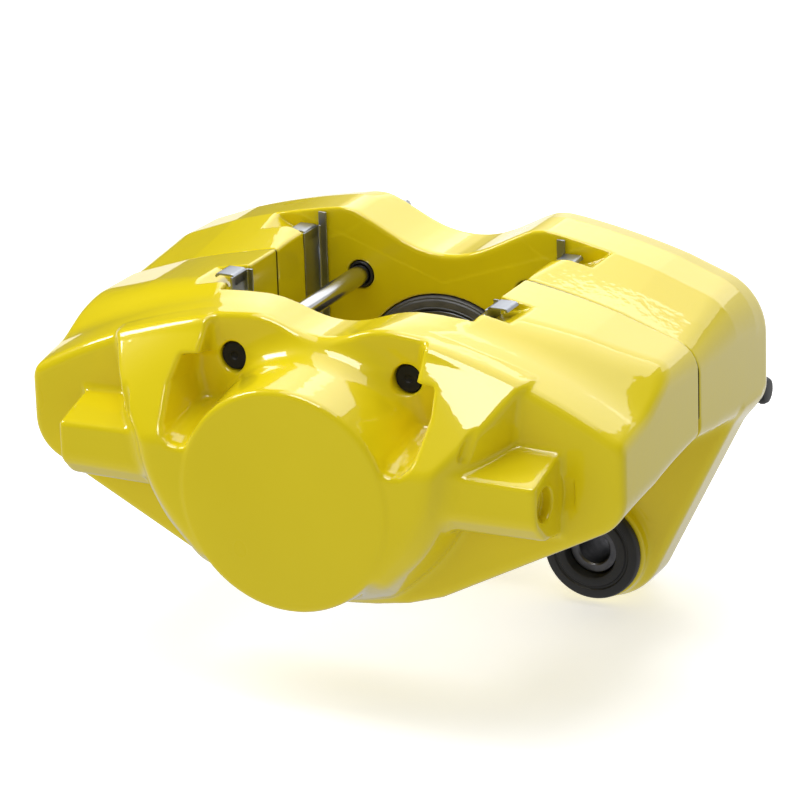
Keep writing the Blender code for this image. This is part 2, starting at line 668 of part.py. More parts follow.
def make_pad_pins(parts, cutters):
    """Rods with a head in the outboard half and a cross hole for the spring clip at the inboard end."""
    neck = PIN_SHOULDER_Y - GAP
    profile = ((0.0, PIN_TAIL_Y), (PIN_R - 0.8, PIN_TAIL_Y), (PIN_R, PIN_TAIL_Y - 0.8), (PIN_R, neck),
               (PIN_HEAD_R, neck), (PIN_HEAD_R, PIN_HEAD_Y + 0.6), (PIN_HEAD_R - 0.6, PIN_HEAD_Y),
               (0.0, PIN_HEAD_Y))
    low = WALL_INNER_Y + GAP
    high = low + PIN_RING_WIDTH
    ring = ((PIN_RING_R, high), (PIN_RING_R, low + 0.5), (PIN_RING_R - 0.5, low), (PIN_R + GAP, low),
            (PIN_R + GAP, high))
    for hand, word in HANDS:
        place = (hand * PIN_X, 0.0, PIN_Z)
        pin = turned(f"pad_pin_{word}", profile, place, parts, "steel", steps=24)
        shape = bmesh.new()
        bmesh.ops.create_cone(shape, cap_ends=True, segments=16, radius1=CLIP_WIRE_R + GAP,
                              radius2=CLIP_WIRE_R + GAP, depth=4.0 * PIN_R)
        cross = add_mesh(f"cut_cross_{word}", shape, cutters, place=(hand * PIN_X, PIN_CLIP_Y, PIN_Z))
        boolean(pin, cross)
        turned(f"pin_ring_{word}", ring, place, parts, "rubber", steps=24)


def make_pin_clips(parts):
    """Spring clips: a straight leg through the pad pin and a bowed leg that hooks past its end."""
    for hand, word in HANDS:
        path = [(0.0, 0.0, PIN_CLIP_FOOT), (0.0, 0.0, PIN_CLIP_TOP)]
        for degrees in range(150, -1, -30):
            y = CLIP_BEND_R * (1.0 + math.cos(math.radians(degrees)))
            path.append((0.0, y, PIN_CLIP_TOP + CLIP_BEND_R * math.sin(math.radians(degrees))))
        path += [(-2.4 * hand, 6.2, 5.0), (-5.0 * hand, 5.4, 0.5), (-4.4 * hand, 4.6, -4.5)]
        place = (hand * PIN_X, PIN_CLIP_Y, PIN_Z)
        smooth(wire(f"pin_clip_{word}", path, CLIP_WIRE_R, parts, "steel", place))


def make_guides(parts):
    """Flanged rubber bushings in the ears, each with a steel sleeve that slides in it."""
    flange = EAR_FRONT_Y - GAP
    front = flange - BUSHING_FLANGE
    tail = EAR_BACK_Y + GAP
    back = tail + BUSHING_FLANGE
    bushing = ((BUSHING_LIP_R - 1.5, back), (BUSHING_LIP_R, tail), (BUSHING_BARREL_R, tail),
               (BUSHING_BARREL_R, flange), (BUSHING_R, flange), (BUSHING_R, front + 1.0),
               (BUSHING_R - 1.0, front), (BUSHING_BORE_R, front), (BUSHING_BORE_R, back))
    low = SLEEVE_FRONT_Y
    high = SLEEVE_BACK_Y
    sleeve = ((SLEEVE_R - 0.4, high), (SLEEVE_R, high - 0.4), (SLEEVE_R, low + 0.4),
              (SLEEVE_R - 0.4, low), (SLEEVE_BORE_R, low), (SLEEVE_BORE_R, high))
    for hand, word in HANDS:
        place = (hand * GUIDE_X, 0.0, GUIDE_Z)
        turned(f"guide_bushing_{word}", bushing, place, parts, "rubber", steps=40)
        turned(f"guide_sleeve_{word}", sleeve, place, parts, "steel", steps=32)


def make_bleed_screws(parts, cutters):
    """Bleed screws with a conical tip, a hexagon and a drilled nipple, each under a rubber cap."""
    screw = ((0.0, 92.8), (2.2, 92.8), (3.0, 90.4), (2.4, 89.6), (2.4, 82.4), (BLEED_R, 81.0),
             (BLEED_R, 67.0), (2.6, 67.0), (1.2, 64.0), (0.0, 64.0))
    low, high = CAP_X
    cap = ((0.0, high), (CAP_R - 1.0, high), (CAP_R, high - 1.2), (CAP_R, low + 0.8), (CAP_R - 0.2, low),
           (CAP_R - 1.2, low), (CAP_R - 1.2, high - 2.0), (0.0, high - 2.0))
    for hand, word in HANDS:
        place = (0.0, PORT_Y, BLEED_Z)
        profile = [(radius, hand * along) for radius, along in screw][::hand]
        body = turned(f"bleed_screw_{word}", profile, place, parts, "steel", axis="X", steps=20)
        ends = [hand * x for x in BLEED_HEX_X]
        radius = BLEED_HEX_AF / math.sqrt(3.0)
        hexagon = cylinder(f"add_hex_{word}", radius, ends, (PORT_Y, BLEED_Z), cutters, axis="X", steps=6)
        boolean(body, hexagon, "UNION")
        profile = [(radius, hand * along) for radius, along in cap][::hand]
        turned(f"bleed_cap_{word}", profile, place, parts, "rubber", axis="X", steps=24)


def main():
    clear_scene()
    parts = make_collection("brake_caliper")
    cutters = make_collection("cutters")
    make_outboard_body(parts, cutters)
    make_inboard_body(parts, cutters)
    make_piston(parts)
    make_seals(parts)
    make_bridge_bolts(parts, cutters)
    make_abutment_clips(parts, cutters)
    make_pad_pins(parts, cutters)
    make_pin_clips(parts)
    make_guides(parts)
    make_bleed_screws(parts, cutters)


main()
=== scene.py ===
"""The looks of the brake caliper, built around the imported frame.

The two body halves are modelled as distance fields with rounded joins, the way a forging's die
leaves them, and are turned into meshes. The small pieces are turned profiles, bent sheets and
wires. Lengths are in millimetres until they reach Blender, measured from the point where the
piston axis meets the plane between the halves. Y is positive on the inboard side, but within a
body half it counts outwards from that plane.
"""
import math

import bmesh
import bpy
import numpy as np
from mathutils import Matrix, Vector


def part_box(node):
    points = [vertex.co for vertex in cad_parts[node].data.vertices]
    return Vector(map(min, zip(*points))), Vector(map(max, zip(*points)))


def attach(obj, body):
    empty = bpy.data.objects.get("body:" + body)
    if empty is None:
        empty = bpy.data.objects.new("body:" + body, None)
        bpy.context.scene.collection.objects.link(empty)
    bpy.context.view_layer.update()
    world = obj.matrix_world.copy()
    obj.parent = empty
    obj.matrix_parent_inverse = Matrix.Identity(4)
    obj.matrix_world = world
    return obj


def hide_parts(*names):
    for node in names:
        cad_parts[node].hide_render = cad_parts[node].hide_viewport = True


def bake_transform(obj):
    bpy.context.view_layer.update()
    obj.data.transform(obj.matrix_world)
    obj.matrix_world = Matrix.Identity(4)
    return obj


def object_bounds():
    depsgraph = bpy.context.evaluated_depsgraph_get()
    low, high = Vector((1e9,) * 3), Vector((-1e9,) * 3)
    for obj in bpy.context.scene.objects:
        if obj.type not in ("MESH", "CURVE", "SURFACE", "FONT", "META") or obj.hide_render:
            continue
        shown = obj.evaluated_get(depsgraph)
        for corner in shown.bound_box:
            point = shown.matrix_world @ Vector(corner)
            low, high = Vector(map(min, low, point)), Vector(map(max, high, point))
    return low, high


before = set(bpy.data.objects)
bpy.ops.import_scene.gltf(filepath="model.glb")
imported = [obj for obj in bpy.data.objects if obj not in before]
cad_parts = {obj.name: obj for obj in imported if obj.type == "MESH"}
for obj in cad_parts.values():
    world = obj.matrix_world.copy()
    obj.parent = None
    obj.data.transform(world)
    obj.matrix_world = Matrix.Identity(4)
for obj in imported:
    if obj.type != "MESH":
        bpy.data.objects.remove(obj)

import openvdb
from mathutils import Matrix, Vector

CAD_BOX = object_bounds()
MM = 0.001
# cell size of the grid that the body halves are meshed from, the margin around it, and how far
# from the surface its field is kept
CELL = 0.6
MARGIN = 1.5
FIELD_REACH = 2.0
HANDS = ((-1, "left"), (1, "right"))
OUTBOARD = -1
INBOARD = 1
PISTON_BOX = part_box("piston")
RISE = (PISTON_BOX[0][2] + PISTON_BOX[1][2]) / 2.0 / MM

# the blanks of the body halves, in the same sizes as the frame's
HALF_LENGTH = 100.0
SEAM = 0.15
WALL_Y = 30.0
OUTER_WALL_Y = 37.0
WING_Y = 58.0
BOSS_Y = 82.5
BOSS_R = 35.0
BOSS_DRAFT = 0.13
# the fillet around the boss: its radius low down, what it gains, and the heights it gains it over
BOSS_FILLET = 1.2
BOSS_FILLET_GAIN = 9.0
BOSS_FILLET_Z = 14.0
BOSS_FILLET_RISE = 22.0
# right half of the underside (x, z)
LOWER_EDGE = ((0.0, -41.0), (17.0, -39.8), (28.0, -38.0), (39.5, -34.3))
# distance from the seam, crown height, upper corner radius, lower corner height and radius
OUTBOARD_SECTIONS = ((0.0, 53.5, 10.0, 6.5, 5.0), (31.0, 53.5, 7.0, 1.9, 9.0),
                     (WING_Y, 53.5, 7.0, -2.8, 14.0))
OUTBOARD_ARCH_R = 270.0
INBOARD_SECTIONS = ((0.0, 53.5, 10.0, 6.5, 5.0), (15.0, 55.8, 13.0, 4.3, 6.0),
                    (30.0, 58.0, 15.0, 2.6, 7.0), (46.0, 58.0, 18.0, 0.6, 9.0),
                    (WING_Y, 56.0, 20.0, -0.6, 11.0))
INBOARD_ARCH_R = 255.0
# the outboard half's arched band: two facets, each a slope and a crown height, that meet at a
# break, and a steeper slant from a crease towards the seam. A difference in height is multiplied
# by about the cosine of its slope, so that it measures distance.
BAND_R = 196.0
BAND_FACETS = ((-0.27, 51.3), (-0.1, 51.3))
BAND_BREAK_Y = 49.0
CREASE_Y = 40.0
CREASE_SLOPE = 0.48
CREASE_COSINE = 0.86
SHOULDER_Z = 49.0
SHOULDER_SLOPE = 0.7

# right half of the cylinder housing's outline (x, z) at each of its layers
HOUSING_BASE = ((68.5, 37.5), (37.0, 46.0), (65.5, 17.5), (55.0, -1.0), (48.0, -11.0),
                (40.0, -23.0), (26.0, -35.5), (10.0, -39.5))
HOUSING_BREAK = ((61.5, 28.0), (51.5, 27.6), (40.0, 30.4), (59.0, 12.0))
HOUSING_FACET = ((53.5, 17.0), (50.5, -1.0), (45.0, -11.5), (37.0, -19.5), (30.5, -26.0))
HOUSING_FLAT = ((48.0, 13.8), (45.6, 1.0), (43.0, -4.6), (40.0, -8.6), (33.0, -15.8), (28.0, -21.0))
HOUSING_LAYERS = ((WING_Y - 6.0, HOUSING_BASE), (WING_Y, HOUSING_BASE), (70.0, HOUSING_BREAK),
                  (77.0, HOUSING_FACET), (BOSS_Y, HOUSING_FLAT))
# the pocket above the housing, where the pad rods end
POCKET_FLOOR = 55.5
POCKET_DRAFT = 0.1
POCKET_OUTLINE = ((-10.0, 70.0), (36.0, 70.0), (36.0, 46.0), (35.6, 35.6), (41.6, 34.8),
                  (42.2, 28.5), (40.0, 18.5), (39.0, 16.6), (37.6, 15.4), (35.8, 15.0),
                  (34.2, 15.4), (32.8, 16.4), (31.4, 18.0), (26.0, 20.0), (0.0, 24.0),
                  (-10.0, 24.0))
# height of the roof's edge along x, where it dips over the piston
SCOOP_X = (0.0, 5.0, 10.0, 15.0, 20.0, 25.0, 30.0, 35.0, 41.0, 50.0)
SCOOP_Z = (43.5, 43.9, 45.1, 47.1, 49.6, 52.2, 54.6, 56.4, 59.5, 66.0)
SCOOP_END_Z = 74.0
SCOOP_COSINE = 0.9
SCOOP_SAMPLES = (60.0, 241)
SCOOP_SMOOTHING = 21

# rotor slot, and the pad bay with the recesses that its sheet clips sit in
SLOT_Y = 13.0
SLOT_R = 190.0
SLOT_CROWN = 31.0
BAY_X = 42.7
RECESS_X = 44.0
LUG_Y = 18.5
RELIEF_R = 22.0
RELIEF = (44.0, 67.5)
OUTER_RELIEF_Y = 33.0
LUG_TOP = ((43.0, 50.0), 0.35)
LUG_TOP_COSINE = 0.94
# the seam's widened lower end: its upper edge, slope, depth and inner end
FOOT_Z = 12.0
FOOT_SLOPE = 0.67
# painted shade: the notch is no deeper than the band where the seam's faces are painted near-black,
# so that it reads dark
FOOT_Y = 0.6
FOOT_X = 90.0

# port blocks, with a blind inlet outboard and a bleed screw inboard
PORT_X = (50.0, 80.0)
PORT_SECTION = ((52.0, -9.0), (52.0, 20.0), (62.0, 18.2), (76.3, 13.4), (76.3, 0.6), (70.0, -6.2))
PORT_TAPER = 0.95
PORT = (69.0, 6.0)
BLEED_Z = -2.5
GROOVE = ((60.2, 71.8, 31.0), (56.6, 74.4, 19.0))
GROOVE_R = 1.8
SPOT_R = 12.0
SPOT_X = (80.4, 84.2)
# radius and inner end of each bore along x
INLET_SEAT = (5.2, 76.5)
INLET_BORE = (3.2, 71.0)
BLEED_BORE = (4.3, 62.0)

# holes along y: pad rods with their seats, bridge bolts, cylinder, boot seat and fluid inlet, each
# with the place where it starts or ends
PIN_X = 29.3
PIN_Z = 33.8
PIN_R = 3.175
PIN_HOLE = (PIN_R + 0.3, 20.0)
PIN_HEAD_SEAT = (4.65, 42.0)
PIN_RING_SEAT = (4.6, 33.6)
BOLTS = ((54.0, 34.5), (83.0, 24.5))
BOLT_HOLE = (5.0, 36.0)
BOLT_SEAT_R = 8.8
CYLINDER = (28.7, 75.0)
BOOT_POCKET = (30.3, 34.0)
FLUID_INLET_R = 4.4

# mounting ears, which are plates with an eye around each guide bushing
GUIDE = (50.3, -48.7)
EAR_CENTRE = (51.6, -46.9)
EAR_R = 19.8
EAR_Y = (35.5, 50.0)
EAR_FRONT = 31.3
EAR_BACK = (14.8, 57.0)
EAR_ROOT = ((99.0, 3.4), (90.0, 10.0), (58.0, -14.0))
EAR_ROUND = range(-200, -25, 5)
EYE_R = 17.2
EYE_BORE_R = 12.5


# ---------------------------------------------------------------- distance fields

def smooth_max(a, b, round_off):
    """The larger of two fields, blended over a corner: the intersection of two solids."""
    h = np.maximum(round_off - np.abs(a - b), 0.0)
    return np.maximum(a, b) + h * h / (4.0 * round_off)


def smooth_min(a, b, round_off):
    """The smaller of two fields, with a fillet between them: the union of two solids."""
    return -smooth_max(-a, -b, round_off)


def cut(field, tool, round_off):
    """A solid without the tool's space, with its new edges rounded."""
    return smooth_max(field, -tool, round_off)


def outline_distance(points, u, v):
    """Signed distance, negative inside, from each (u, v) to a closed outline."""
    nearest = np.full(np.broadcast(u, v).shape, 1e9, np.float32)
    inside = np.zeros(nearest.shape, bool)
    for (u0, v0), (u1, v1) in zip(points, list(points[1:]) + [points[0]]):
        du = u1 - u0
        dv = v1 - v0
        along = np.clip(((u - u0) * du + (v - v0) * dv) / (du * du + dv * dv), 0.0, 1.0)
        nearest = np.minimum(nearest, (u - u0 - along * du) ** 2 + (v - v0 - along * dv) ** 2)
        if dv != 0.0:
            inside ^= ((v0 <= v) != (v1 <= v)) & (u < (v - v0) * du / dv + u0)
    return np.where(inside, -1.0, 1.0) * np.sqrt(nearest)


def hull_planes(points):
    """The outward planes (normal, offset) of the convex solid around some points."""
    shape = bmesh.new()
    for point in points:
        shape.verts.new(point)
    bmesh.ops.convex_hull(shape, input=shape.verts)
    bmesh.ops.dissolve_limit(shape, angle_limit=math.radians(2.0), verts=shape.verts,
                             edges=shape.edges)
    centre = sum((Vector(point) for point in points), Vector()) / len(points)
    planes = []
    for face in shape.faces:
        normal = face.normal.copy()
        middle = face.calc_center_median()
        if normal.dot(middle - centre) < 0.0:
            normal.negate()
        planes.append((normal, normal.dot(middle)))
    shape.free()
    return planes


def faceted(points, x, y, z, round_off):
    """A convex solid with rounded edges, on the half where x is positive."""
    field = None
    for normal, offset in hull_planes(points):
        if normal.x < -0.3:
            continue
        plane = x * normal.x + y * normal.y + z * normal.z - offset
        field = plane if field is None else smooth_max(field, plane, round_off)
    return field


def column(x, z, centre, radius):
    """An endless round bar along y."""
    return np.sqrt((x - centre[0]) ** 2 + (z - centre[1]) ** 2) - radius


def capsule(x, y, z, start, end, radius):
    """A round-ended bar between two points."""
    run = [b - a for a, b in zip(start, end)]
    share = (x - start[0]) * run[0] + (y - start[1]) * run[1] + (z - start[2]) * run[2]
    share = np.clip(share / sum(step * step for step in run), 0.0, 1.0)
    gaps = [at - low - share * step for at, low, step in zip((x, y, z), start, run)]
    return np.sqrt(gaps[0] ** 2 + gaps[1] ** 2 + gaps[2] ** 2) - radius


# ---------------------------------------------------------------- the body halves

def arch_z(x, crown, radius):
    """Height of an arch at one x."""
    return crown - radius + math.sqrt(radius * radius - x * x)


def fillet(before, corner, after, radius, segments):
    """Points that round a polygon's corner."""
    corner = Vector(corner)
    back = (Vector(before) - corner).normalized()
    forth = (Vector(after) - corner).normalized()
    half = back.angle(forth) / 2.0
    centre = corner + (back + forth).normalized() * (radius / math.sin(half))
    start = corner + back * (radius / math.tan(half)) - centre
    swing = start.angle_signed(corner + forth * (radius / math.tan(half)) - centre)
    arms = [Matrix.Rotation(-swing * step / segments, 2) @ start for step in range(segments + 1)]
    return [(centre.x + arm.x, centre.y + arm.y) for arm in arms]


def side_outline(crown, corner_radius, low_corner_z, low_corner_radius, arch_radius):
    """The body as seen along the piston axis, with both halves of its outline."""
    low_corner = (HALF_LENGTH, low_corner_z)
    top_corner = (HALF_LENGTH, arch_z(HALF_LENGTH, crown, arch_radius))
    inward = (70.0, arch_z(70.0, crown, arch_radius))
    half = list(LOWER_EDGE)
    half += fillet(LOWER_EDGE[-1], low_corner, top_corner, low_corner_radius, 14)
    half += fillet(low_corner, top_corner, inward, corner_radius, 14)
    half += [(float(x), arch_z(x, crown, arch_radius)) for x in range(74, -1, -4)]
    return half + [(-x, z) for x, z in reversed(half) if x > 0.0]


def blank(sections, arch_radius, x, y, z):
    """The half's profile, blended between sections along y."""
    flat_x = x[:, 0, :]
    flat_z = z[:, 0, :]
    slices = []
    for section in sections:
        slices.append(outline_distance(side_outline(*section[1:], arch_radius), flat_x, flat_z))
    stations = [section[0] for section in sections]
    layers = []
    for depth in y.ravel():
        place = min(max(depth, 0.0), stations[-1])
        index = min(int(np.searchsorted(stations, place, side="right")) - 1, len(stations) - 2)
        share = (place - stations[index]) / (stations[index + 1] - stations[index])
        layers.append(slices[index] * (1.0 - share) + slices[index + 1] * share)
    return np.stack(layers, axis=1).astype(np.float32)


def arch_z_field(x, crown, radius):
    """Height of an arch at each x of an array."""
    return crown - radius + np.sqrt(radius * radius - x * x)


def band_facet(slope, crown, x, y, z):
    """Under one facet of the outboard half's arched band."""
    centre_z = crown + slope * (y - BAND_BREAK_Y) - BAND_R
    return (np.sqrt(x * x + (z - centre_z) ** 2) - BAND_R) / math.sqrt(1.0 + slope * slope)


def housing_points():
    """Corners of both halves of the cylinder housing."""
    points = []
    for y, outline in HOUSING_LAYERS:
        for x, z in outline:
            points += [(x, y, z), (-x, y, z)]
    return points


def port_points(drop):
    """Corners of the right port block, which tapers outwards."""
    points = []
    for x, scale in zip(PORT_X, (1.0, PORT_TAPER)):
        for y, z in PORT_SECTION:
            points.append((x, y, PORT[1] + (z - PORT[1]) * scale + drop))
    return points


def forging(side, x, y, z):
    """The half as it leaves the die, y counted outwards from the seam."""
    if side == OUTBOARD:
        body = blank(OUTBOARD_SECTIONS, OUTBOARD_ARCH_R, x, y, z)
        band = None
        for slope, crown in BAND_FACETS:
            facet = band_facet(slope, crown, x, y, z)
            band = facet if band is None else smooth_max(band, facet, 1.6)
        level = BAND_FACETS[1][1] + BAND_FACETS[1][0] * (CREASE_Y - BAND_BREAK_Y)
        slant = z - arch_z_field(x, level, BAND_R) + CREASE_SLOPE * (y - CREASE_Y)
        slant = slant * CREASE_COSINE
        body = smooth_max(body, smooth_min(band, slant, 1.4), 2.6)
        body = smooth_max(body, y - WING_Y, 3.2)
    else:
        body = blank(INBOARD_SECTIONS, INBOARD_ARCH_R, x, y, z)
        body = smooth_max(body, y - WING_Y, 5.0)
    housing = faceted(housing_points(), x, y, z, 1.8)
    body = smooth_min(body, housing, 2.5)
    walls = outline_distance(POCKET_OUTLINE, x, z) - (y - POCKET_FLOOR) * POCKET_DRAFT
    pocket = smooth_max(walls, POCKET_FLOOR - y, 3.0)
    body = cut(body, pocket, 1.8)
    boss = np.sqrt(x * x + z * z) - BOSS_R - (BOSS_Y - y) * BOSS_DRAFT
    gain = np.clip((z - BOSS_FILLET_Z) / BOSS_FILLET_RISE, 0.0, 1.0)
    body = smooth_min(body, boss.astype(np.float32), BOSS_FILLET + BOSS_FILLET_GAIN * gain)
    drop = 0.0 if side == OUTBOARD else BLEED_Z - PORT[1]
    body = smooth_min(body, faceted(port_points(drop), x, y, z, 1.7), 2.6)
    return smooth_max(body, y - BOSS_Y, 2.0)


def machined(side, field, x, y, z):
    """Everything that is cut after forging, with its edges just broken."""
    scoop = (z - scoop_height(x)) * SCOOP_COSINE
    wall = WALL_Y
    relief = (LUG_Y, WALL_Y)
    if side == OUTBOARD:
        wall = OUTER_WALL_Y
        relief = (LUG_Y, OUTER_RELIEF_Y)
        ledge = np.minimum(z - SHOULDER_Z, z - SHOULDER_Z + (BAY_X - x) * SHOULDER_SLOPE)
        scoop = smooth_max(scoop, np.minimum(ledge, y - WALL_Y), 4.0)
    else:
        (edge_x, edge_z), rise = LUG_TOP
        lug_top = (z - edge_z - (x - edge_x) * rise) * LUG_TOP_COSINE
        field = smooth_max(field, np.minimum(lug_top, WALL_Y - y), 1.2)
    field = smooth_max(field, scoop, 2.2)
    slot = column(x, z, (0.0, SLOT_CROWN - SLOT_R), SLOT_R)
    field = cut(field, np.maximum(slot, y - SLOT_Y), 0.8)
    field = cut(field, np.maximum(x - BAY_X, y - wall), 1.0)
    band = np.maximum(LUG_Y - y, y - WALL_Y)
    relief_band = np.maximum(relief[0] - y, y - relief[1])
    field = cut(field, np.maximum(x - RECESS_X, band), 0.7)
    field = cut(field, np.maximum(column(x, z, RELIEF, RELIEF_R), relief_band), 0.9)
    pin_hole = column(x, z, (PIN_X, PIN_Z), PIN_HOLE[0])
    field = cut(field, np.maximum(pin_hole, PIN_HOLE[1] - y), 0.5)
    if side == OUTBOARD:
        radius, start = PIN_HEAD_SEAT
        pin_seat = np.maximum(column(x, z, (PIN_X, PIN_Z), radius), start - y)
    else:
        radius, end = PIN_RING_SEAT
        pin_seat = np.maximum(column(x, z, (PIN_X, PIN_Z), radius), y - end)
    field = cut(field, pin_seat, 0.8)
    for centre in BOLTS:
        hole = column(x, z, centre, BOLT_HOLE[0])
        if side == OUTBOARD:
            hole = np.maximum(hole, y - BOLT_HOLE[1])
        field = cut(field, hole, 0.5)
        if side == INBOARD:
            seat = column(x, z, centre, BOLT_SEAT_R)
            field = cut(field, np.maximum(seat, WING_Y - y), 0.9)
    foot = z - (x - HALF_LENGTH) * FOOT_SLOPE - FOOT_Z
    field = cut(field, np.maximum(np.maximum(foot, y - FOOT_Y), FOOT_X - x), 0.3)
    return smooth_max(field, SEAM - y, 0.9)


def scoop_height(x):
    """The valley over the piston, as a smooth curve through its stations."""
    fine = np.linspace(0.0, *SCOOP_SAMPLES)
    curve = np.interp(fine, SCOOP_X, SCOOP_Z, right=SCOOP_END_Z)
    kernel = np.hanning(SCOOP_SMOOTHING)
    kernel /= kernel.sum()
    mirrored = np.concatenate([curve[:0:-1], curve])
    curve = np.convolve(mirrored, kernel, mode="same")[len(curve) - 1:]
    kept = len(fine) - SCOOP_SMOOTHING // 2 - 2
    return np.interp(x, fine[:kept], curve[:kept])


def outboard_cuts(field, x, y, z):
    """The groove beside the port block, the crescent spot-face by its end, and its blind inlet."""
    field = cut(field, capsule(x, y, z, *GROOVE, GROOVE_R), 0.8)
    ring = np.sqrt((y - PORT[0]) ** 2 + (z - PORT[1]) ** 2)
    field = cut(field, np.maximum(ring - SPOT_R, np.maximum(SPOT_X[0] - x, x - SPOT_X[1])), 0.5)
    field = cut(field, np.maximum(ring - INLET_SEAT[0], INLET_SEAT[1] - x), 0.9)
    return cut(field, np.maximum(ring - INLET_BORE[0], INLET_BORE[1] - x), 0.6)


def add_ears(field, x, y, z):
    """The half with its mounting ears: a plate, an eye through it and the eye's longer back."""
    rim = []
    for degrees in EAR_ROUND:
        angle = math.radians(degrees)
        rim.append((EAR_CENTRE[0] + EAR_R * math.cos(angle),
                    EAR_CENTRE[1] + EAR_R * math.sin(angle)))
    plate = outline_distance(rim + list(EAR_ROOT), x[:, :1, :], z)
    plate = smooth_max(smooth_max(plate, EAR_Y[0] - y, 3.0), y - EAR_Y[1], 1.2)
    field = smooth_min(field, plate.astype(np.float32), 3.0)
    eye = column(x, z, GUIDE, EYE_R)
    eye = smooth_max(smooth_max(eye, EAR_FRONT - y, 1.4), y - EAR_Y[1], 1.4)
    field = smooth_min(field, eye, 2.4)
    back = smooth_max(column(x, z, GUIDE, EAR_BACK[0]), y - EAR_BACK[1], 1.4)
    field = smooth_min(field, np.maximum(back, EAR_Y[0] - y), 3.0)
    return cut(field, column(x, z, GUIDE, EYE_BORE_R), 0.6)


def inboard_cuts(field, x, y, z):
    """The cylinder, the boot's pocket, the fluid inlet and the bleed screws' bores."""
    radius = np.sqrt(x * x + z * z)
    field = cut(field, np.maximum(radius - CYLINDER[0], y - CYLINDER[1]), 0.8)
    field = cut(field, np.maximum(radius - BOOT_POCKET[0], y - BOOT_POCKET[1]), 0.6)
    field = cut(field, radius - FLUID_INLET_R, 0.8)
    ring = np.sqrt((y - PORT[0]) ** 2 + (z - BLEED_Z) ** 2)
    return cut(field, np.maximum(ring - BLEED_BORE[0], BLEED_BORE[1] - x), 0.9)


def body_half(side, low_z, high_z):
    """One half as a quad mesh with normals taken from its field."""
    x = np.arange(0.0, HALF_LENGTH + MARGIN, CELL, dtype=np.float32)[:, None, None]
    y = np.arange(-MARGIN, BOSS_Y + MARGIN, CELL, dtype=np.float32)[None, :, None]
    z = np.arange(low_z, high_z, CELL, dtype=np.float32)[None, None, :]
    field = forging(side, x, y, z)
    if side == INBOARD:
        field = add_ears(field, x, y, z)
    field = machined(side, field, x, y, z)
    own_cuts = outboard_cuts if side == OUTBOARD else inboard_cuts
    field = own_cuts(field, x, y, z)
    field = np.concatenate([field[:0:-1], field], axis=0).astype(np.float32)
    grid = openvdb.FloatGrid(FIELD_REACH)
    grid.copyFromArray(np.clip(field, -FIELD_REACH, FIELD_REACH))
    points, quads = grid.convertToQuads(isovalue=0.0)
    low = np.array([-float(x[-1, 0, 0]), -MARGIN, low_z])
    normals = field_normals(field, points)
    points = points * CELL + low
    points[:, 1] *= side
    normals[:, 1] *= side
    if side == OUTBOARD:
        quads = quads[:, ::-1]
    return points, quads, normals


def field_normals(field, points):
    """The field's unit gradient at points given in cells."""
    slopes = []
    for axis in range(3):
        step = np.zeros(3, np.float32)
        step[axis] = 0.5
        slopes.append(sample(field, points + step) - sample(field, points - step))
    slopes = np.stack(slopes, axis=1)
    return slopes / np.maximum(np.linalg.norm(slopes, axis=1, keepdims=True), 1e-9)


def sample(field, points):
    """The field at points given in cells, interpolated between the cells' corners."""
    base = np.floor(points).astype(int)
    share = points - base
    total = np.zeros(len(points))
    for corner in np.ndindex(2, 2, 2):
        weight = np.ones(len(points))
        spot = []
        for axis in range(3):
            weight = weight * (share[:, axis] if corner[axis] else 1.0 - share[:, axis])
            spot.append(np.clip(base[:, axis] + corner[axis], 0, field.shape[axis] - 1))
        total += weight * field[spot[0], spot[1], spot[2]]
    return total


def loose_piece(mesh, finish):
    """A piece named after its mesh, in a finish: a material, and a slot name, which is not used."""
    material, slot = finish
    piece = bpy.data.objects.new(mesh.name, mesh)
    bpy.context.scene.collection.objects.link(piece)
    mesh.materials.clear()
    mesh.materials.append(material)
    return piece


def add_piece(mesh, finish, body, *stands_for):
    """A piece that rides on a body, in place of the CAD nodes that it stands for."""
    piece = loose_piece(mesh, finish)
    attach(piece, body)
    if stands_for:
        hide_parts(*stands_for)
    return piece


def make_body(side, name, low_z, high_z, finish):
    points, quads, normals = body_half(side, low_z, high_z)
    mesh = bpy.data.meshes.new(name + "_forging")
    points = (points + np.array([0.0, 0.0, RISE])) * MM
    mesh.from_pydata(points.tolist(), [], quads.tolist())
    mesh.shade_smooth()
    mesh.normals_split_custom_set_from_vertices(normals.tolist())
    add_piece(mesh, finish, "caliper", name)


# ---------------------------------------------------------------- materials

# sockets of a Mix node, whose names repeat: factor, first and second value, and result
FACTOR = 0
FLOAT_A, FLOAT_B, FLOAT_OUT = 2, 3, 0
COLOUR_A, COLOUR_B, COLOUR_OUT = 6, 7, 2

PAINT = ((0.78, 0.62, 0.004), (0.83, 0.67, 0.006))
# painted shade: the faces at the seam are bare, but their near-black stands in for the shade in the
# gap between the halves
SEAM_GAP_SHADE = (0.035, 0.03, 0.008)
# distance from the seam, in metres, over which the painted shade of the seam's gap turns into paint
SEAM_SHADE_EDGE = (0.0003, 0.0006)
WHITE = (1.0, 1.0, 1.0, 1.0)


def map_range(nodes, links, source, levels, over):
    """A level that runs from one value to another while the source runs over a span."""
    node = nodes.new("ShaderNodeMapRange")
    for key, value in zip(("From Min", "From Max", "To Min", "To Max"), (*over, *levels)):
        node.inputs[key].default_value = value
    links.new(source, node.inputs["Value"])
    return node.outputs["Result"]


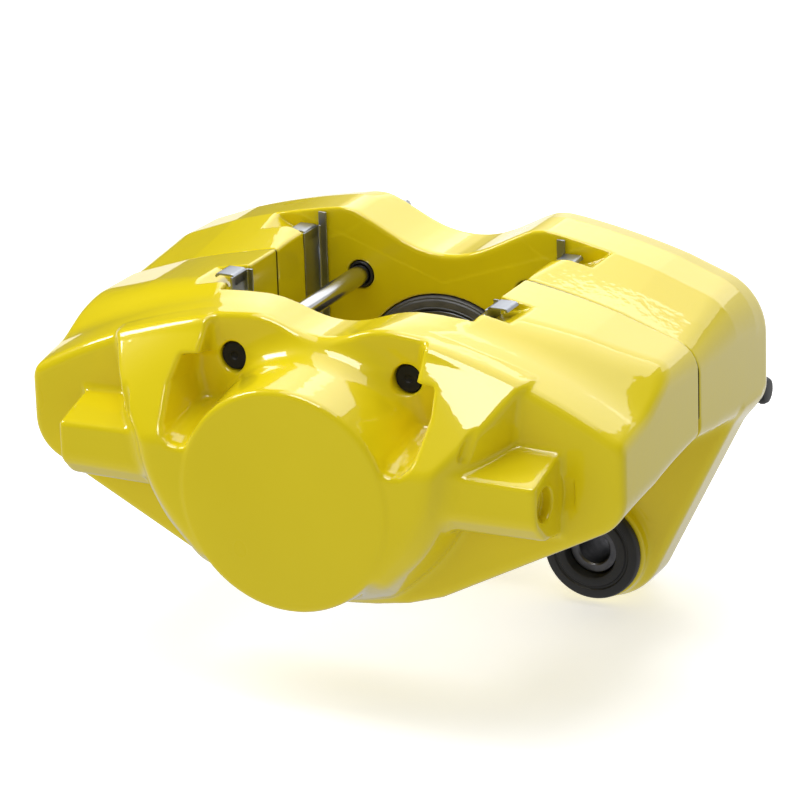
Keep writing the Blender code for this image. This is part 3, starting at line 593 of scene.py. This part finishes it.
class Shader:
    """A Principled material that is put together node by node, in object space."""

    def __init__(self, name):
        self.material = bpy.data.materials.new(name)
        self.material.use_nodes = True
        self.nodes = self.material.node_tree.nodes
        self.links = self.material.node_tree.links
        self.main = self.nodes["Principled BSDF"]
        self.space = self.add("ShaderNodeTexCoord").outputs["Object"]

    def add(self, kind, **settings):
        node = self.nodes.new(kind)
        for key, value in settings.items():
            setattr(node, key, value)
        return node

    def put(self, node, **values):
        """Sets sockets by name, with _ for each space."""
        for key, value in values.items():
            node.inputs[key.replace("_", " ")].default_value = value
        return node

    def noise(self, scale, detail=2.0, stretch=None):
        node = self.put(self.add("ShaderNodeTexNoise"), Scale=scale, Detail=detail)
        source = self.space
        if stretch:
            turn = self.put(self.add("ShaderNodeMapping"), Scale=stretch)
            self.links.new(source, turn.inputs["Vector"])
            source = turn.outputs["Vector"]
        self.links.new(source, node.inputs["Vector"])
        return node.outputs["Fac"]

    def span(self, source, levels, over=(0.3, 0.7)):
        return map_range(self.nodes, self.links, source, levels, over)

    def mix(self, source, first, second):
        node = self.add("ShaderNodeMix", data_type="RGBA")
        node.inputs[COLOUR_A].default_value = (*first, 1.0)
        node.inputs[COLOUR_B].default_value = (*second, 1.0)
        self.links.new(source, node.inputs[FACTOR])
        return node.outputs[COLOUR_OUT]

    def bump(self, height, strength, distance, after=None):
        node = self.put(self.add("ShaderNodeBump"), Strength=strength, Distance=distance)
        self.links.new(height, node.inputs["Height"])
        if after:
            self.links.new(after, node.inputs["Normal"])
        return node.outputs["Normal"]

    def wire(self, **sources):
        """Links outputs into the main shader's sockets by name, with _ for each space."""
        for key, source in sources.items():
            self.links.new(source, self.main.inputs[key.replace("_", " ")])


def powder_coat():
    """Gloss yellow powder coat: orange peel under a clear skin, and painted shade on the bare faces
    at the seam, which turn near-black with less coat to darken the gap.
    """
    look = Shader("powder_coat_gloss")
    look.put(look.main, Coat_Weight=1.0, Coat_Roughness=0.03, Coat_IOR=1.5, Roughness=0.3,
             Specular_IOR_Level=0.12)
    cloud = look.noise(14.0, 3.0)
    paint = look.mix(look.span(cloud, (0.0, 1.0)), *PAINT)
    place = look.add("ShaderNodeSeparateXYZ")
    look.links.new(look.space, place.inputs["Vector"])
    depth = look.add("ShaderNodeMath", operation="ABSOLUTE")
    look.links.new(place.outputs["Y"], depth.inputs[0])
    # painted shade: near the seam the colour turns near-black and the coat thins, which darkens the
    # gap between the halves as shade would
    seam_shade = look.span(depth.outputs[0], (1.0, 0.0), SEAM_SHADE_EDGE)
    paint_and_seam_shade = look.add("ShaderNodeMix", data_type="RGBA")
    paint_and_seam_shade.inputs[COLOUR_B].default_value = (*SEAM_GAP_SHADE, 1.0)
    look.links.new(seam_shade, paint_and_seam_shade.inputs[FACTOR])
    look.links.new(paint, paint_and_seam_shade.inputs[COLOUR_A])
    look.wire(Base_Color=paint_and_seam_shade.outputs[COLOUR_OUT], Roughness=look.span(cloud, (0.27, 0.36)),
              Coat_Weight=look.span(seam_shade, (1.0, 0.1), (0.0, 1.0)))
    peel = look.bump(look.noise(420.0, 1.0), 0.10, 0.0002)
    normal = look.bump(look.noise(60.0, 2.0), 0.10, 0.0006, peel)
    look.wire(Normal=normal, Coat_Normal=normal)
    return look.material


def metal(name, dark, light, roughness, scale=90.0, stretch=None, strength=0.15, metallic=1.0):
    look = Shader(name)
    look.put(look.main, Metallic=metallic)
    cloud = look.noise(scale, 4.0, stretch)
    fine = look.noise(scale * 9.0, 3.0, stretch)
    look.wire(Base_Color=look.mix(look.span(cloud, (0.0, 1.0)), dark, light),
              Roughness=look.span(fine, roughness),
              Normal=look.bump(fine, strength, 0.0001))
    return look.material


def rubber(name, dark, light, roughness, scale=120.0):
    look = Shader(name)
    cloud = look.noise(scale, 4.0)
    fine = look.noise(1400.0, 3.0)
    look.wire(Base_Color=look.mix(look.span(cloud, (0.0, 1.0)), dark, light),
              Roughness=look.span(cloud, roughness),
              Normal=look.bump(fine, 0.25, 0.00012))
    return look.material


# ---------------------------------------------------------------- meshes of small pieces

WELD = 0.0005
SHARP = math.radians(32.0)
CENTRE = (0.0, 0.0, 0.0)


def finish_mesh(name, shape, place=CENTRE):
    """A mesh in metres from a shape in millimetres, moved to its place."""
    shift = Vector(place) + Vector((0.0, 0.0, RISE))
    bmesh.ops.translate(shape, vec=shift, verts=shape.verts)
    bmesh.ops.scale(shape, vec=(MM, MM, MM), verts=shape.verts)
    mesh = bpy.data.meshes.new(name)
    shape.to_mesh(mesh)
    shape.free()
    mesh.shade_smooth()
    mesh.set_sharp_from_angle(angle=SHARP)
    return mesh


def turned_mesh(name, profile, place, axis="Y", steps=96, closed=False):
    """A (radius, distance) profile turned about a line along an axis through place."""
    shape = bmesh.new()
    verts = []
    for radius, along in profile:
        spot = (radius, along, 0.0) if axis == "Y" else (along, radius, 0.0)
        verts.append(shape.verts.new(spot))
    edges = [shape.edges.new(pair) for pair in zip(verts, verts[1:])]
    if closed:
        edges.append(shape.edges.new((verts[-1], verts[0])))
    line = (0.0, 1.0, 0.0) if axis == "Y" else (1.0, 0.0, 0.0)
    bmesh.ops.spin(shape, geom=verts + edges, axis=line, cent=CENTRE, steps=steps,
                   angle=2.0 * math.pi)
    bmesh.ops.remove_doubles(shape, verts=shape.verts, dist=WELD)
    bmesh.ops.recalc_face_normals(shape, faces=shape.faces)
    return finish_mesh(name, shape, place)


def rounded(profile, radius, segments=3):
    """The profile with each inner corner rounded, where there is room for it."""
    points = [profile[0]]
    for before, corner, after in zip(profile, profile[1:], profile[2:]):
        corner = Vector(corner)
        back = Vector(before) - corner
        forth = Vector(after) - corner
        reach = min(radius, min(back.length, forth.length) * 0.45)
        start = corner + back.normalized() * reach
        end = corner + forth.normalized() * reach
        for step in range(segments + 1):
            t = step / segments
            spot = start * (1 - t) ** 2 + corner * 2 * t * (1 - t) + end * t ** 2
            points.append((spot.x, spot.y))
    return points + [profile[-1]]


def skin(shape, loops):
    """Quads between neighbouring loops of vertices, and a face over each end."""
    count = len(loops[0])
    for first, second in zip(loops, loops[1:]):
        for index in range(count):
            after = (index + 1) % count
            shape.faces.new((first[index], first[after], second[after], second[index]))
    shape.faces.new(loops[0])
    shape.faces.new(loops[-1])


def ringed_mesh(name, rings, place, axis="Y", hand=1, steps=72):
    """A solid skinned over rings about an axis, each a distance and a radius, or its formula."""
    shape = bmesh.new()
    loops = []
    for along, radius in rings:
        loop = []
        for index in range(steps):
            angle = 2.0 * math.pi * index / steps
            reach = radius(angle) if callable(radius) else radius
            u = reach * math.cos(angle)
            v = reach * math.sin(angle)
            loop.append(shape.verts.new((u, along, v) if axis == "Y" else (hand * along, u, v)))
        loops.append(loop)
    skin(shape, loops)
    bmesh.ops.recalc_face_normals(shape, faces=shape.faces)
    return finish_mesh(name, shape, place)


def hexagon(apothem):
    """Radius of a hexagon by angle."""
    return lambda angle: apothem / math.cos(angle % (math.pi / 3.0) - math.pi / 6.0)


def knurl(radius, depth, ridges):
    """Radius of a knurled ring by angle."""
    return lambda angle: radius - depth * abs(math.sin(angle * ridges / 2.0))


def thread(start, step, count, root, crest):
    """Rings that rise and fall between a thread's root and its crest."""
    return [(start - turn * step, crest if turn % 2 else root) for turn in range(count)]


def bent_sheet(shape, path, thickness, low, high, spot):
    """A strip of sheet: a bent centre line, given thickness and drawn out sideways."""
    line = [Vector(point) for point in path]
    rows = []
    for index, point in enumerate(line):
        ahead = line[min(index + 1, len(line) - 1)] - line[max(index - 1, 0)]
        across = Vector((-ahead.y, ahead.x)).normalized() * (thickness / 2.0)
        near = point + across
        far = point - across
        corners = ((near, low), (far, low), (far, high), (near, high))
        rows.append([shape.verts.new(spot(at.x, at.y, level)) for at, level in corners])
    skin(shape, rows)


def wire_mesh(name, path, radius, place):
    """A round wire through some points, with smooth bends."""
    curve = bpy.data.curves.new(name, "CURVE")
    curve.dimensions = "3D"
    curve.bevel_depth = radius
    curve.bevel_resolution = 5
    curve.resolution_u = 10
    curve.use_fill_caps = True
    line = curve.splines.new("BEZIER")
    line.bezier_points.add(len(path) - 1)
    for point, spot in zip(line.bezier_points, path):
        point.co = spot
        point.handle_left_type = "AUTO"
        point.handle_right_type = "AUTO"
    holder = bpy.data.objects.new(name, curve)
    mesh = bpy.data.meshes.new_from_object(holder)
    bpy.data.objects.remove(holder)
    bpy.data.curves.remove(curve)
    shift = Matrix.Translation(Vector(place) + Vector((0.0, 0.0, RISE)))
    mesh.transform(Matrix.Scale(MM, 4) @ shift)
    mesh.name = name
    mesh.shade_smooth()
    return mesh


# ---------------------------------------------------------------- small pieces

def make_piston(anodised):
    """A cup that opens towards the pads, with a grooved rim and a seat for the boot's bead."""
    profile = [(0.0, 66.0), (27.4, 66.0), (28.4, 65.0), (28.4, 31.7), (25.4, 31.0), (25.4, 29.0),
               (25.0, 28.6), (24.3, 28.6), (24.1, 29.0), (23.5, 29.0), (23.3, 28.6), (22.0, 28.6),
               (21.0, 29.6), (21.0, 40.0), (20.6, 41.0), (20.6, 55.0), (17.6, 58.0), (0.0, 58.0)]
    mesh = turned_mesh("piston_cup", rounded(profile, 0.3), CENTRE, steps=160)
    add_piece(mesh, anodised, "piston", "piston")


def make_seals(black, grey):
    """The square seal, and the dust boot's seat, its membrane and the bead around the piston."""
    seal = [(31.7, 43.7), (31.7, 40.3), (28.9, 40.3), (28.7, 40.7), (28.7, 43.7)]
    seat = [(30.0, 33.6), (30.0, 30.2), (29.9, 29.6), (29.5, 29.3), (29.1, 29.4), (28.8, 29.9),
            (28.7, 33.6)]
    front = [(29.3, 29.50), (29.1, 29.42), (28.9, 29.30), (28.75, 29.15), (28.6, 29.02),
             (28.3, 28.96), (27.9, 28.93), (27.5, 28.90), (27.1, 28.88), (26.7, 28.86),
             (26.3, 28.83), (26.0, 28.80)]
    membrane = front + [(radius, y + 0.12) for radius, y in reversed(front)]
    bead = [(28.2, 30.6), (28.2, 29.4), (27.8, 29.05), (26.6, 29.05), (26.4, 28.75),
            (26.2, 28.55), (25.9, 28.55), (25.7, 28.75), (25.7, 30.6)]
    mesh = turned_mesh("square_seal", seal, CENTRE, steps=128, closed=True)
    add_piece(mesh, black, "caliper", "piston_seal")
    mesh = turned_mesh("boot_seat", seat, CENTRE, steps=128, closed=True)
    add_piece(mesh, grey, "caliper", "dust_boot")
    mesh = turned_mesh("boot_membrane", membrane, CENTRE, steps=128, closed=True)
    piece = loose_piece(mesh, grey)
    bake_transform(piece)
    mesh = turned_mesh("boot_bead", bead, CENTRE, steps=128, closed=True)
    add_piece(mesh, black, "piston", "boot_lip")


def make_bridge_bolts(oxide):
    """Socket-head bolts with knurled heads, each from the bottom of its socket to its tip."""
    rings = [(62.8, hexagon(4.0)), (67.4, hexagon(4.0)), (67.8, hexagon(4.5)), (67.8, 6.4),
             (67.5, 6.9), (67.0, knurl(7.6, 0.3, 48)), (59.4, knurl(7.6, 0.3, 48)), (58.9, 7.4),
             (58.3, 7.2), (58.3, 4.7), (20.0, 4.7), (19.5, 4.3)]
    rings += thread(18.6, 1.5, 34, 4.25, 4.7)
    rings.append((-34.0, 3.6))
    for index, (x, z) in enumerate(BOLTS):
        for hand, word in HANDS:
            node = f"bridge_bolt_{word}_{('inner', 'outer')[index]}"
            name = f"socket_bolt_{word}_{index}"
            mesh = ringed_mesh(name, rings, (hand * x, 0.0, z), steps=288)
            add_piece(mesh, oxide, "caliper", node)


SHEET = 0.7
WEB_X = 43.3
CLIP_Z = (2.0, 49.2)
# the leg's free end in x, the leg's place in y, and the web's far end in y
CLIP_LEGS = {OUTBOARD: (41.2, 19.3, 29.5), INBOARD: (40.3, 29.2, 18.9)}
# inner end in x and height of the inboard leg's upper end
LEG_TOP = (43.0, 49.0, 53.6)
TAB_PATH = ((WEB_X, 46.0), (WEB_X, 49.4), (49.0, 49.4), (49.6, 48.4))
TAB_Y = (20.0, 28.0)


def make_abutment_clips(stainless):
    """Sheet corners of the pad bay, folded round the lug or the wall, each with a tab on top."""
    for side, place in ((OUTBOARD, "outboard"), (INBOARD, "inboard")):
        leg_x, leg_y, end_y = CLIP_LEGS[side]
        for hand, word in HANDS:
            def seen_from_above(x, y, z):
                return hand * x, side * y, z

            def seen_along_y(x, z, y):
                return hand * x, side * y, z

            shape = bmesh.new()
            fold = rounded([(leg_x, leg_y), (WEB_X, leg_y), (WEB_X, end_y)], 1.2, 5)
            bent_sheet(shape, fold, SHEET, *CLIP_Z, seen_from_above)
            if side == INBOARD:
                top = [(leg_x, leg_y), (LEG_TOP[0], leg_y)]
                bent_sheet(shape, top, SHEET, *LEG_TOP[1:], seen_from_above)
            bent_sheet(shape, rounded(TAB_PATH, 1.0, 5), SHEET, *TAB_Y, seen_along_y)
            bmesh.ops.recalc_face_normals(shape, faces=shape.faces)
            mesh = finish_mesh(f"pad_shim_{word}_{place}", shape)
            piece = add_piece(mesh, stainless, "caliper", f"abutment_clip_{word}_{place}")
            edge = piece.modifiers.new("edge", "BEVEL")
            edge.width = 0.12 * MM
            edge.segments = 2
            edge.angle_limit = math.radians(40.0)
            edge.limit_method = "ANGLE"


ROD_END_Y = 64.0
ROD_HEAD_Y = -42.2
# the spring wire: its thickness, its bend's radius and height, and its place along the rod
WIRE_R = 0.8
BEND_R = 3.4
BEND_Z = 11.0
WIRE_Y = 60.0


def make_pad_pins(steel, dark, black):
    """Pad rods with their heads, the rings around them and the spring wires through them; the
    heads' near-black matt face, flush in the pin holes, is painted shade of the deep holes.
    """
    rod = [(0.0, ROD_END_Y), (PIN_R - 0.8, ROD_END_Y), (PIN_R, ROD_END_Y - 0.8),
           (PIN_R, ROD_HEAD_Y), (0.0, ROD_HEAD_Y)]
    # painted shade: the head reaches nearly to the pocket's face, so that its near-black matt face
    # darkens the pin hole as shade would
    head = [(0.0, ROD_HEAD_Y), (4.4, ROD_HEAD_Y), (4.4, -54.2), (4.1, -54.6), (1.3, -54.6),
            (1.1, -54.2), (0.0, -54.1)]
    ring = [(3.4, 33.3), (4.3, 33.3), (4.3, 30.7), (4.0, 30.3), (3.7, 30.3), (3.4, 30.6)]
    bend = [(0.0, 0.0, -6.5), (0.0, 0.0, 2.0), (0.0, 0.0, BEND_Z)]
    for degrees in range(150, -1, -30):
        angle = math.radians(degrees)
        bend.append((0.0, BEND_R * (1.0 + math.cos(angle)), BEND_Z + BEND_R * math.sin(angle)))
    for hand, word in HANDS:
        place = (hand * PIN_X, 0.0, PIN_Z)
        mesh = turned_mesh(f"pad_rod_{word}", rounded(rod, 0.35), place, steps=64)
        add_piece(mesh, steel, f"pad_pin_{word}", f"pad_pin_{word}")
        mesh = turned_mesh(f"rod_head_{word}", rounded(head, 0.3), place, steps=64)
        add_piece(mesh, dark, f"pad_pin_{word}")
        mesh = turned_mesh(f"rod_grommet_{word}", ring, place, steps=64, closed=True)
        add_piece(mesh, black, "caliper", f"pin_ring_{word}")
        arm = [(-2.4 * hand, 6.2, 5.0), (-5.0 * hand, 5.4, 0.5), (-4.4 * hand, 4.6, -4.5)]
        place = (hand * PIN_X, WIRE_Y, PIN_Z)
        mesh = wire_mesh(f"spring_wire_{word}", bend + arm, WIRE_R, place)
        add_piece(mesh, steel, f"pin_clip_{word}", f"pin_clip_{word}")


def make_guides(black, plated):
    """The ears' flanged rubber bushings and the sleeves that slide in them."""
    bushing = [(13.0, 60.3), (14.0, 59.6), (14.5, 57.4), (12.3, 57.3), (12.2, 56.8), (12.2, 31.1),
               (16.0, 31.0), (16.3, 30.6), (16.3, 29.0), (15.9, 28.3), (15.2, 28.0), (13.2, 28.0),
               (12.8, 28.5), (12.2, 28.5), (11.8, 28.0), (9.8, 27.8), (9.1, 28.0), (8.75, 28.6),
               (8.75, 59.8), (9.1, 60.3)]
    sleeve = [(7.9, 66.0), (8.4, 65.5), (8.4, 31.5), (7.9, 31.0), (5.8, 31.0), (5.3, 31.5),
              (5.3, 65.5), (5.8, 66.0)]
    for hand, word in HANDS:
        place = (hand * GUIDE[0], 0.0, GUIDE[1])
        mesh = turned_mesh(f"bush_{word}", bushing, place, closed=True)
        add_piece(mesh, black, "caliper", f"guide_bushing_{word}")
        mesh = turned_mesh(f"tube_{word}", sleeve, place, closed=True)
        add_piece(mesh, plated, f"guide_sleeve_{word}", f"guide_sleeve_{word}")


def make_bleed_screws(steel, black):
    """Bleed screws, each from the bore in its nipple to its point, and their ribbed caps."""
    rings = [(85.0, 0.8), (92.8, 0.9), (92.8, 2.0), (92.3, 2.4), (90.7, 3.0), (90.3, 3.0),
             (89.6, 2.4), (84.6, 2.4), (84.3, 3.6), (83.9, hexagon(4.0)), (81.0, hexagon(4.0)),
             (80.6, hexagon(3.8)), (80.6, 3.6)]
    rings += thread(80.0, 0.65, 20, 3.5, 3.95)
    rings += [(66.8, 2.6), (64.0, 1.2)]
    cap = [(0.0, 95.2), (2.6, 95.2), (3.8, 94.8), (4.4, 93.8), (4.5, 92.8), (4.2, 92.4),
           (4.2, 91.4), (4.5, 91.0), (4.5, 90.0), (4.2, 89.6), (4.2, 88.6), (4.5, 88.2),
           (4.5, 86.6), (4.7, 86.2), (4.7, 85.4), (4.3, 85.0), (3.4, 85.0), (3.3, 93.0),
           (0.0, 93.2)]
    place = (0.0, PORT[0], BLEED_Z)
    for hand, word in HANDS:
        mesh = ringed_mesh(f"nipple_{word}", rings, place, "X", hand, steps=96)
        add_piece(mesh, steel, f"bleed_screw_{word}", f"bleed_screw_{word}")
        profile = [(radius, hand * along) for radius, along in cap]
        mesh = turned_mesh(f"dust_cap_{word}", profile, place, axis="X", steps=64)
        add_piece(mesh, black, f"bleed_cap_{word}", f"bleed_cap_{word}")


# ---------------------------------------------------------------- floor, studio and camera

# the floor's size and its gap under the part, in metres
FLOOR_SIZE = 8.0
FLOOR_GAP = 0.0008
# strength of the floor's glow: for the camera, for the bounce on the part, which leans towards one
# side, and for reflections, where it grows from front to back
FLOOR_GLOW = 0.56
FLOOR_FROM = (-0.35, -0.9, 0.0)
FLOOR_RANGE = (-0.3, 0.3)
FLOOR_BOUNCE = (0.35, 1.0)
MIRROR_RANGE = (-0.25, 0.35)
MIRROR = (0.2, 1.0)
FLOOR_PALE = ((0.80, 0.80, 0.80), (0.82, 0.82, 0.82))
FLOOR_DARK = (0.03, 0.03, 0.03, 1.0)
# brightness of the reflected studio by height, and its shade at the front and on the left
SKY = ((0.0, 1.0), (0.3, 0.95), (0.42, 0.6), (0.6, 0.2), (1.0, 0.1))
FRONT_RANGE = (-0.6, 0.3)
FRONT_SHADE = (0.12, 1.0)
LEFT_RANGE = (-0.53, -0.42)
LEFT_SHADE = (0.03, 1.0)
# the studio's light on matt surfaces, along a direction
FILL_FROM = (-0.35, -0.8, -0.6)
FILL_RANGE = (-0.7, 0.7)
FILL = (0.15, 0.95)
# name, place, target, size, power in watts, and whether it lights matt surfaces as well
SOFTBOXES = (
    ("top_box", (-0.05, 0.38, 1.1), (-0.05, 0.38, 0.0), (0.95, 1.43), 12.0, True),
    ("back_box", (-0.2, 1.7, 1.17), (0.0, 0.0, 0.0), (2.4, 0.95), 11.5, True),
    ("roof_box", (-0.13, -0.5, 1.06), (0.0, 0.0, 0.0), (0.48, 0.46), 7.5, False),
    ("key_box", (-1.2, 0.0, 0.95), (0.0, 0.0, 0.0), (0.45, 0.45), 9.0, True),
)
# the camera, as solved from the photograph: angles in radians, distance and shift in millimetres
VIEW_AZIMUTH = math.radians(26.81)
VIEW_ELEVATION = math.radians(19.62)
VIEW_ROLL = math.radians(-1.848)
VIEW_DISTANCE = 1380.0
VIEW_SHIFT = (-1.34, 4.79)
FOCAL_LENGTH = 198.4
SENSOR_WIDTH = 36.0


def leaning(nodes, links, source, direction, over, levels):
    """A level that changes along a direction, from one end of a span to the other."""
    along = nodes.new("ShaderNodeVectorMath")
    along.operation = "DOT_PRODUCT"
    along.inputs[1].default_value = direction
    links.new(source, along.inputs[0])
    return map_range(nodes, links, along.outputs["Value"], levels, over)


def add_floor():
    """A pale floor close under the part, which glows differently in each kind of ray."""
    spot = (0.0, 0.0, CAD_BOX[0][2] - FLOOR_GAP)
    bpy.ops.mesh.primitive_plane_add(size=FLOOR_SIZE, location=spot)
    floor = bpy.context.object
    floor.name = "studio_floor"
    look = Shader("studio_floor")
    look.put(look.main, Roughness=0.9, Specular_IOR_Level=0.0, Emission_Color=WHITE)
    rays = look.add("ShaderNodeLightPath")
    parts = look.add("ShaderNodeSeparateXYZ")
    look.links.new(look.space, parts.inputs["Vector"])
    mirror = look.span(parts.outputs["Y"], MIRROR, MIRROR_RANGE)
    bounce = leaning(look.nodes, look.links, look.space, FLOOR_FROM, FLOOR_RANGE, FLOOR_BOUNCE)
    unseen = look.add("ShaderNodeMix")
    look.links.new(rays.outputs["Is Diffuse Ray"], unseen.inputs[FACTOR])
    look.links.new(mirror, unseen.inputs[FLOAT_A])
    look.links.new(bounce, unseen.inputs[FLOAT_B])
    glow = look.add("ShaderNodeMix")
    glow.inputs[FLOAT_B].default_value = FLOOR_GLOW
    look.links.new(rays.outputs["Is Camera Ray"], glow.inputs[FACTOR])
    look.links.new(unseen.outputs[FLOAT_OUT], glow.inputs[FLOAT_A])
    look.links.new(glow.outputs[FLOAT_OUT], look.main.inputs["Emission Strength"])
    shown = look.add("ShaderNodeMix", data_type="RGBA")
    shown.inputs[COLOUR_A].default_value = FLOOR_DARK
    look.links.new(rays.outputs["Is Camera Ray"], shown.inputs[FACTOR])
    look.links.new(look.mix(look.noise(3.0), *FLOOR_PALE), shown.inputs[COLOUR_B])
    look.wire(Base_Color=shown.outputs[COLOUR_OUT])
    floor.data.materials.append(look.material)


def add_world():
    """A studio that is white low down and behind in reflections, with a soft fill elsewhere."""
    world = bpy.data.worlds.new("studio")
    world.use_nodes = True
    nodes = world.node_tree.nodes
    links = world.node_tree.links
    space = nodes.new("ShaderNodeTexCoord").outputs["Generated"]
    parts = nodes.new("ShaderNodeSeparateXYZ")
    links.new(space, parts.inputs["Vector"])
    ramp = nodes.new("ShaderNodeValToRGB")
    links.new(parts.outputs["Z"], ramp.inputs["Fac"])
    stops = ramp.color_ramp.elements
    while len(stops) > 1:
        stops.remove(stops[-1])
    for index, (place, level) in enumerate(SKY):
        stop = stops[0] if index == 0 else stops.new(place)
        stop.position = place
        stop.color = (level, level, level, 1.0)
    front = map_range(nodes, links, parts.outputs["Y"], FRONT_SHADE, FRONT_RANGE)
    left = map_range(nodes, links, parts.outputs["X"], LEFT_SHADE, LEFT_RANGE)
    shade = nodes.new("ShaderNodeMath")
    shade.operation = "MULTIPLY"
    links.new(front, shade.inputs[0])
    links.new(left, shade.inputs[1])
    seen = nodes["Background"]
    links.new(ramp.outputs["Color"], seen.inputs["Color"])
    links.new(shade.outputs[0], seen.inputs["Strength"])
    even = nodes.new("ShaderNodeBackground")
    links.new(leaning(nodes, links, space, FILL_FROM, FILL_RANGE, FILL), even.inputs["Strength"])
    rays = nodes.new("ShaderNodeLightPath")
    choice = nodes.new("ShaderNodeMixShader")
    links.new(rays.outputs["Is Diffuse Ray"], choice.inputs[0])
    links.new(seen.outputs[0], choice.inputs[1])
    links.new(even.outputs[0], choice.inputs[2])
    links.new(choice.outputs[0], nodes["World Output"].inputs["Surface"])
    bpy.context.scene.world = world


def add_softbox(name, place, target, size, power, lights_matt):
    data = bpy.data.lights.new(name, "AREA")
    data.shape = "RECTANGLE"
    data.size = size[0]
    data.size_y = size[1]
    data.energy = power
    lamp = bpy.data.objects.new(name, data)
    lamp.location = place
    lamp.rotation_euler = (Vector(target) - Vector(place)).to_track_quat("-Z", "Y").to_euler()
    lamp.visible_diffuse = lights_matt
    bpy.context.scene.collection.objects.link(lamp)


def add_camera():
    """The photograph's view, turned a little about its own axis."""
    a = VIEW_AZIMUTH
    e = VIEW_ELEVATION
    back = Vector((math.sin(a) * math.cos(e), -math.cos(a) * math.cos(e), math.sin(e)))
    across = Vector((math.cos(a), math.sin(a), 0.0))
    up = back.cross(across)
    right = math.cos(VIEW_ROLL) * across + math.sin(VIEW_ROLL) * up
    over = -math.sin(VIEW_ROLL) * across + math.cos(VIEW_ROLL) * up
    spot = right * VIEW_SHIFT[0] + over * VIEW_SHIFT[1] + back * VIEW_DISTANCE
    spot = spot + Vector((0.0, 0.0, RISE))
    data = bpy.data.cameras.new("camera")
    data.lens = FOCAL_LENGTH
    data.sensor_width = SENSOR_WIDTH
    camera = bpy.data.objects.new("camera", data)
    turn = Matrix((right, over, back)).transposed()
    camera.matrix_world = Matrix.Translation(spot * MM) @ turn.to_4x4()
    bpy.context.scene.collection.objects.link(camera)
    bpy.context.scene.camera = camera


def main():
    bpy.context.scene.view_settings.view_transform = "Standard"
    coat = powder_coat()
    steel = metal("ground_steel", (0.42, 0.43, 0.44), (0.58, 0.59, 0.61), (0.16, 0.26), 60.0,
                  (1.0, 0.05, 1.0), strength=0.05)
    plated = metal("dark_zinc", (0.10, 0.10, 0.11), (0.17, 0.17, 0.18), (0.35, 0.5), 300.0)
    oxide = metal("black_oxide", (0.02, 0.02, 0.022), (0.05, 0.05, 0.052), (0.32, 0.5), 400.0,
                  metallic=0.7)
    # painted shade: a near-black matt for the pad rods' heads, which stands in for the shade inside
    # the deep pin holes
    head_and_hole_shade = metal("head_and_hole_shade", (0.006, 0.006, 0.007), (0.012, 0.012, 0.013), (0.55, 0.7),
                       400.0, metallic=0.2)
    anodised = metal("hard_anodised", (0.10, 0.10, 0.105), (0.16, 0.16, 0.165), (0.28, 0.42),
                     90.0, (1.0, 8.0, 1.0), strength=0.1, metallic=0.8)
    stainless = metal("stamped_stainless", (0.30, 0.32, 0.35), (0.36, 0.38, 0.42), (0.3, 0.34),
                      60.0, strength=0.02)
    black_rubber = rubber("black_rubber", (0.008, 0.008, 0.009), (0.02, 0.02, 0.021),
                          (0.42, 0.58))
    boot_rubber = rubber("boot_rubber", (0.065, 0.065, 0.07), (0.10, 0.10, 0.105), (0.38, 0.5),
                         200.0)
    black = (black_rubber, "rubber")
    ground = (steel, "steel")
    make_body(OUTBOARD, "outboard_body", -43.0, 57.0, (coat, "powder_coat"))
    make_body(INBOARD, "inboard_body", -69.0, 62.0, (coat, "powder_coat"))
    make_piston((anodised, "alloy"))
    make_seals(black, (boot_rubber, "rubber"))
    make_bridge_bolts((oxide, "black_steel"))
    make_abutment_clips((stainless, "stainless"))
    make_pad_pins(ground, (head_and_hole_shade, "steel"), black)
    make_guides(black, (plated, "steel"))
    make_bleed_screws(ground, black)
    add_floor()
    add_world()
    for softbox in SOFTBOXES:
        add_softbox(*softbox)
    add_camera()


main()
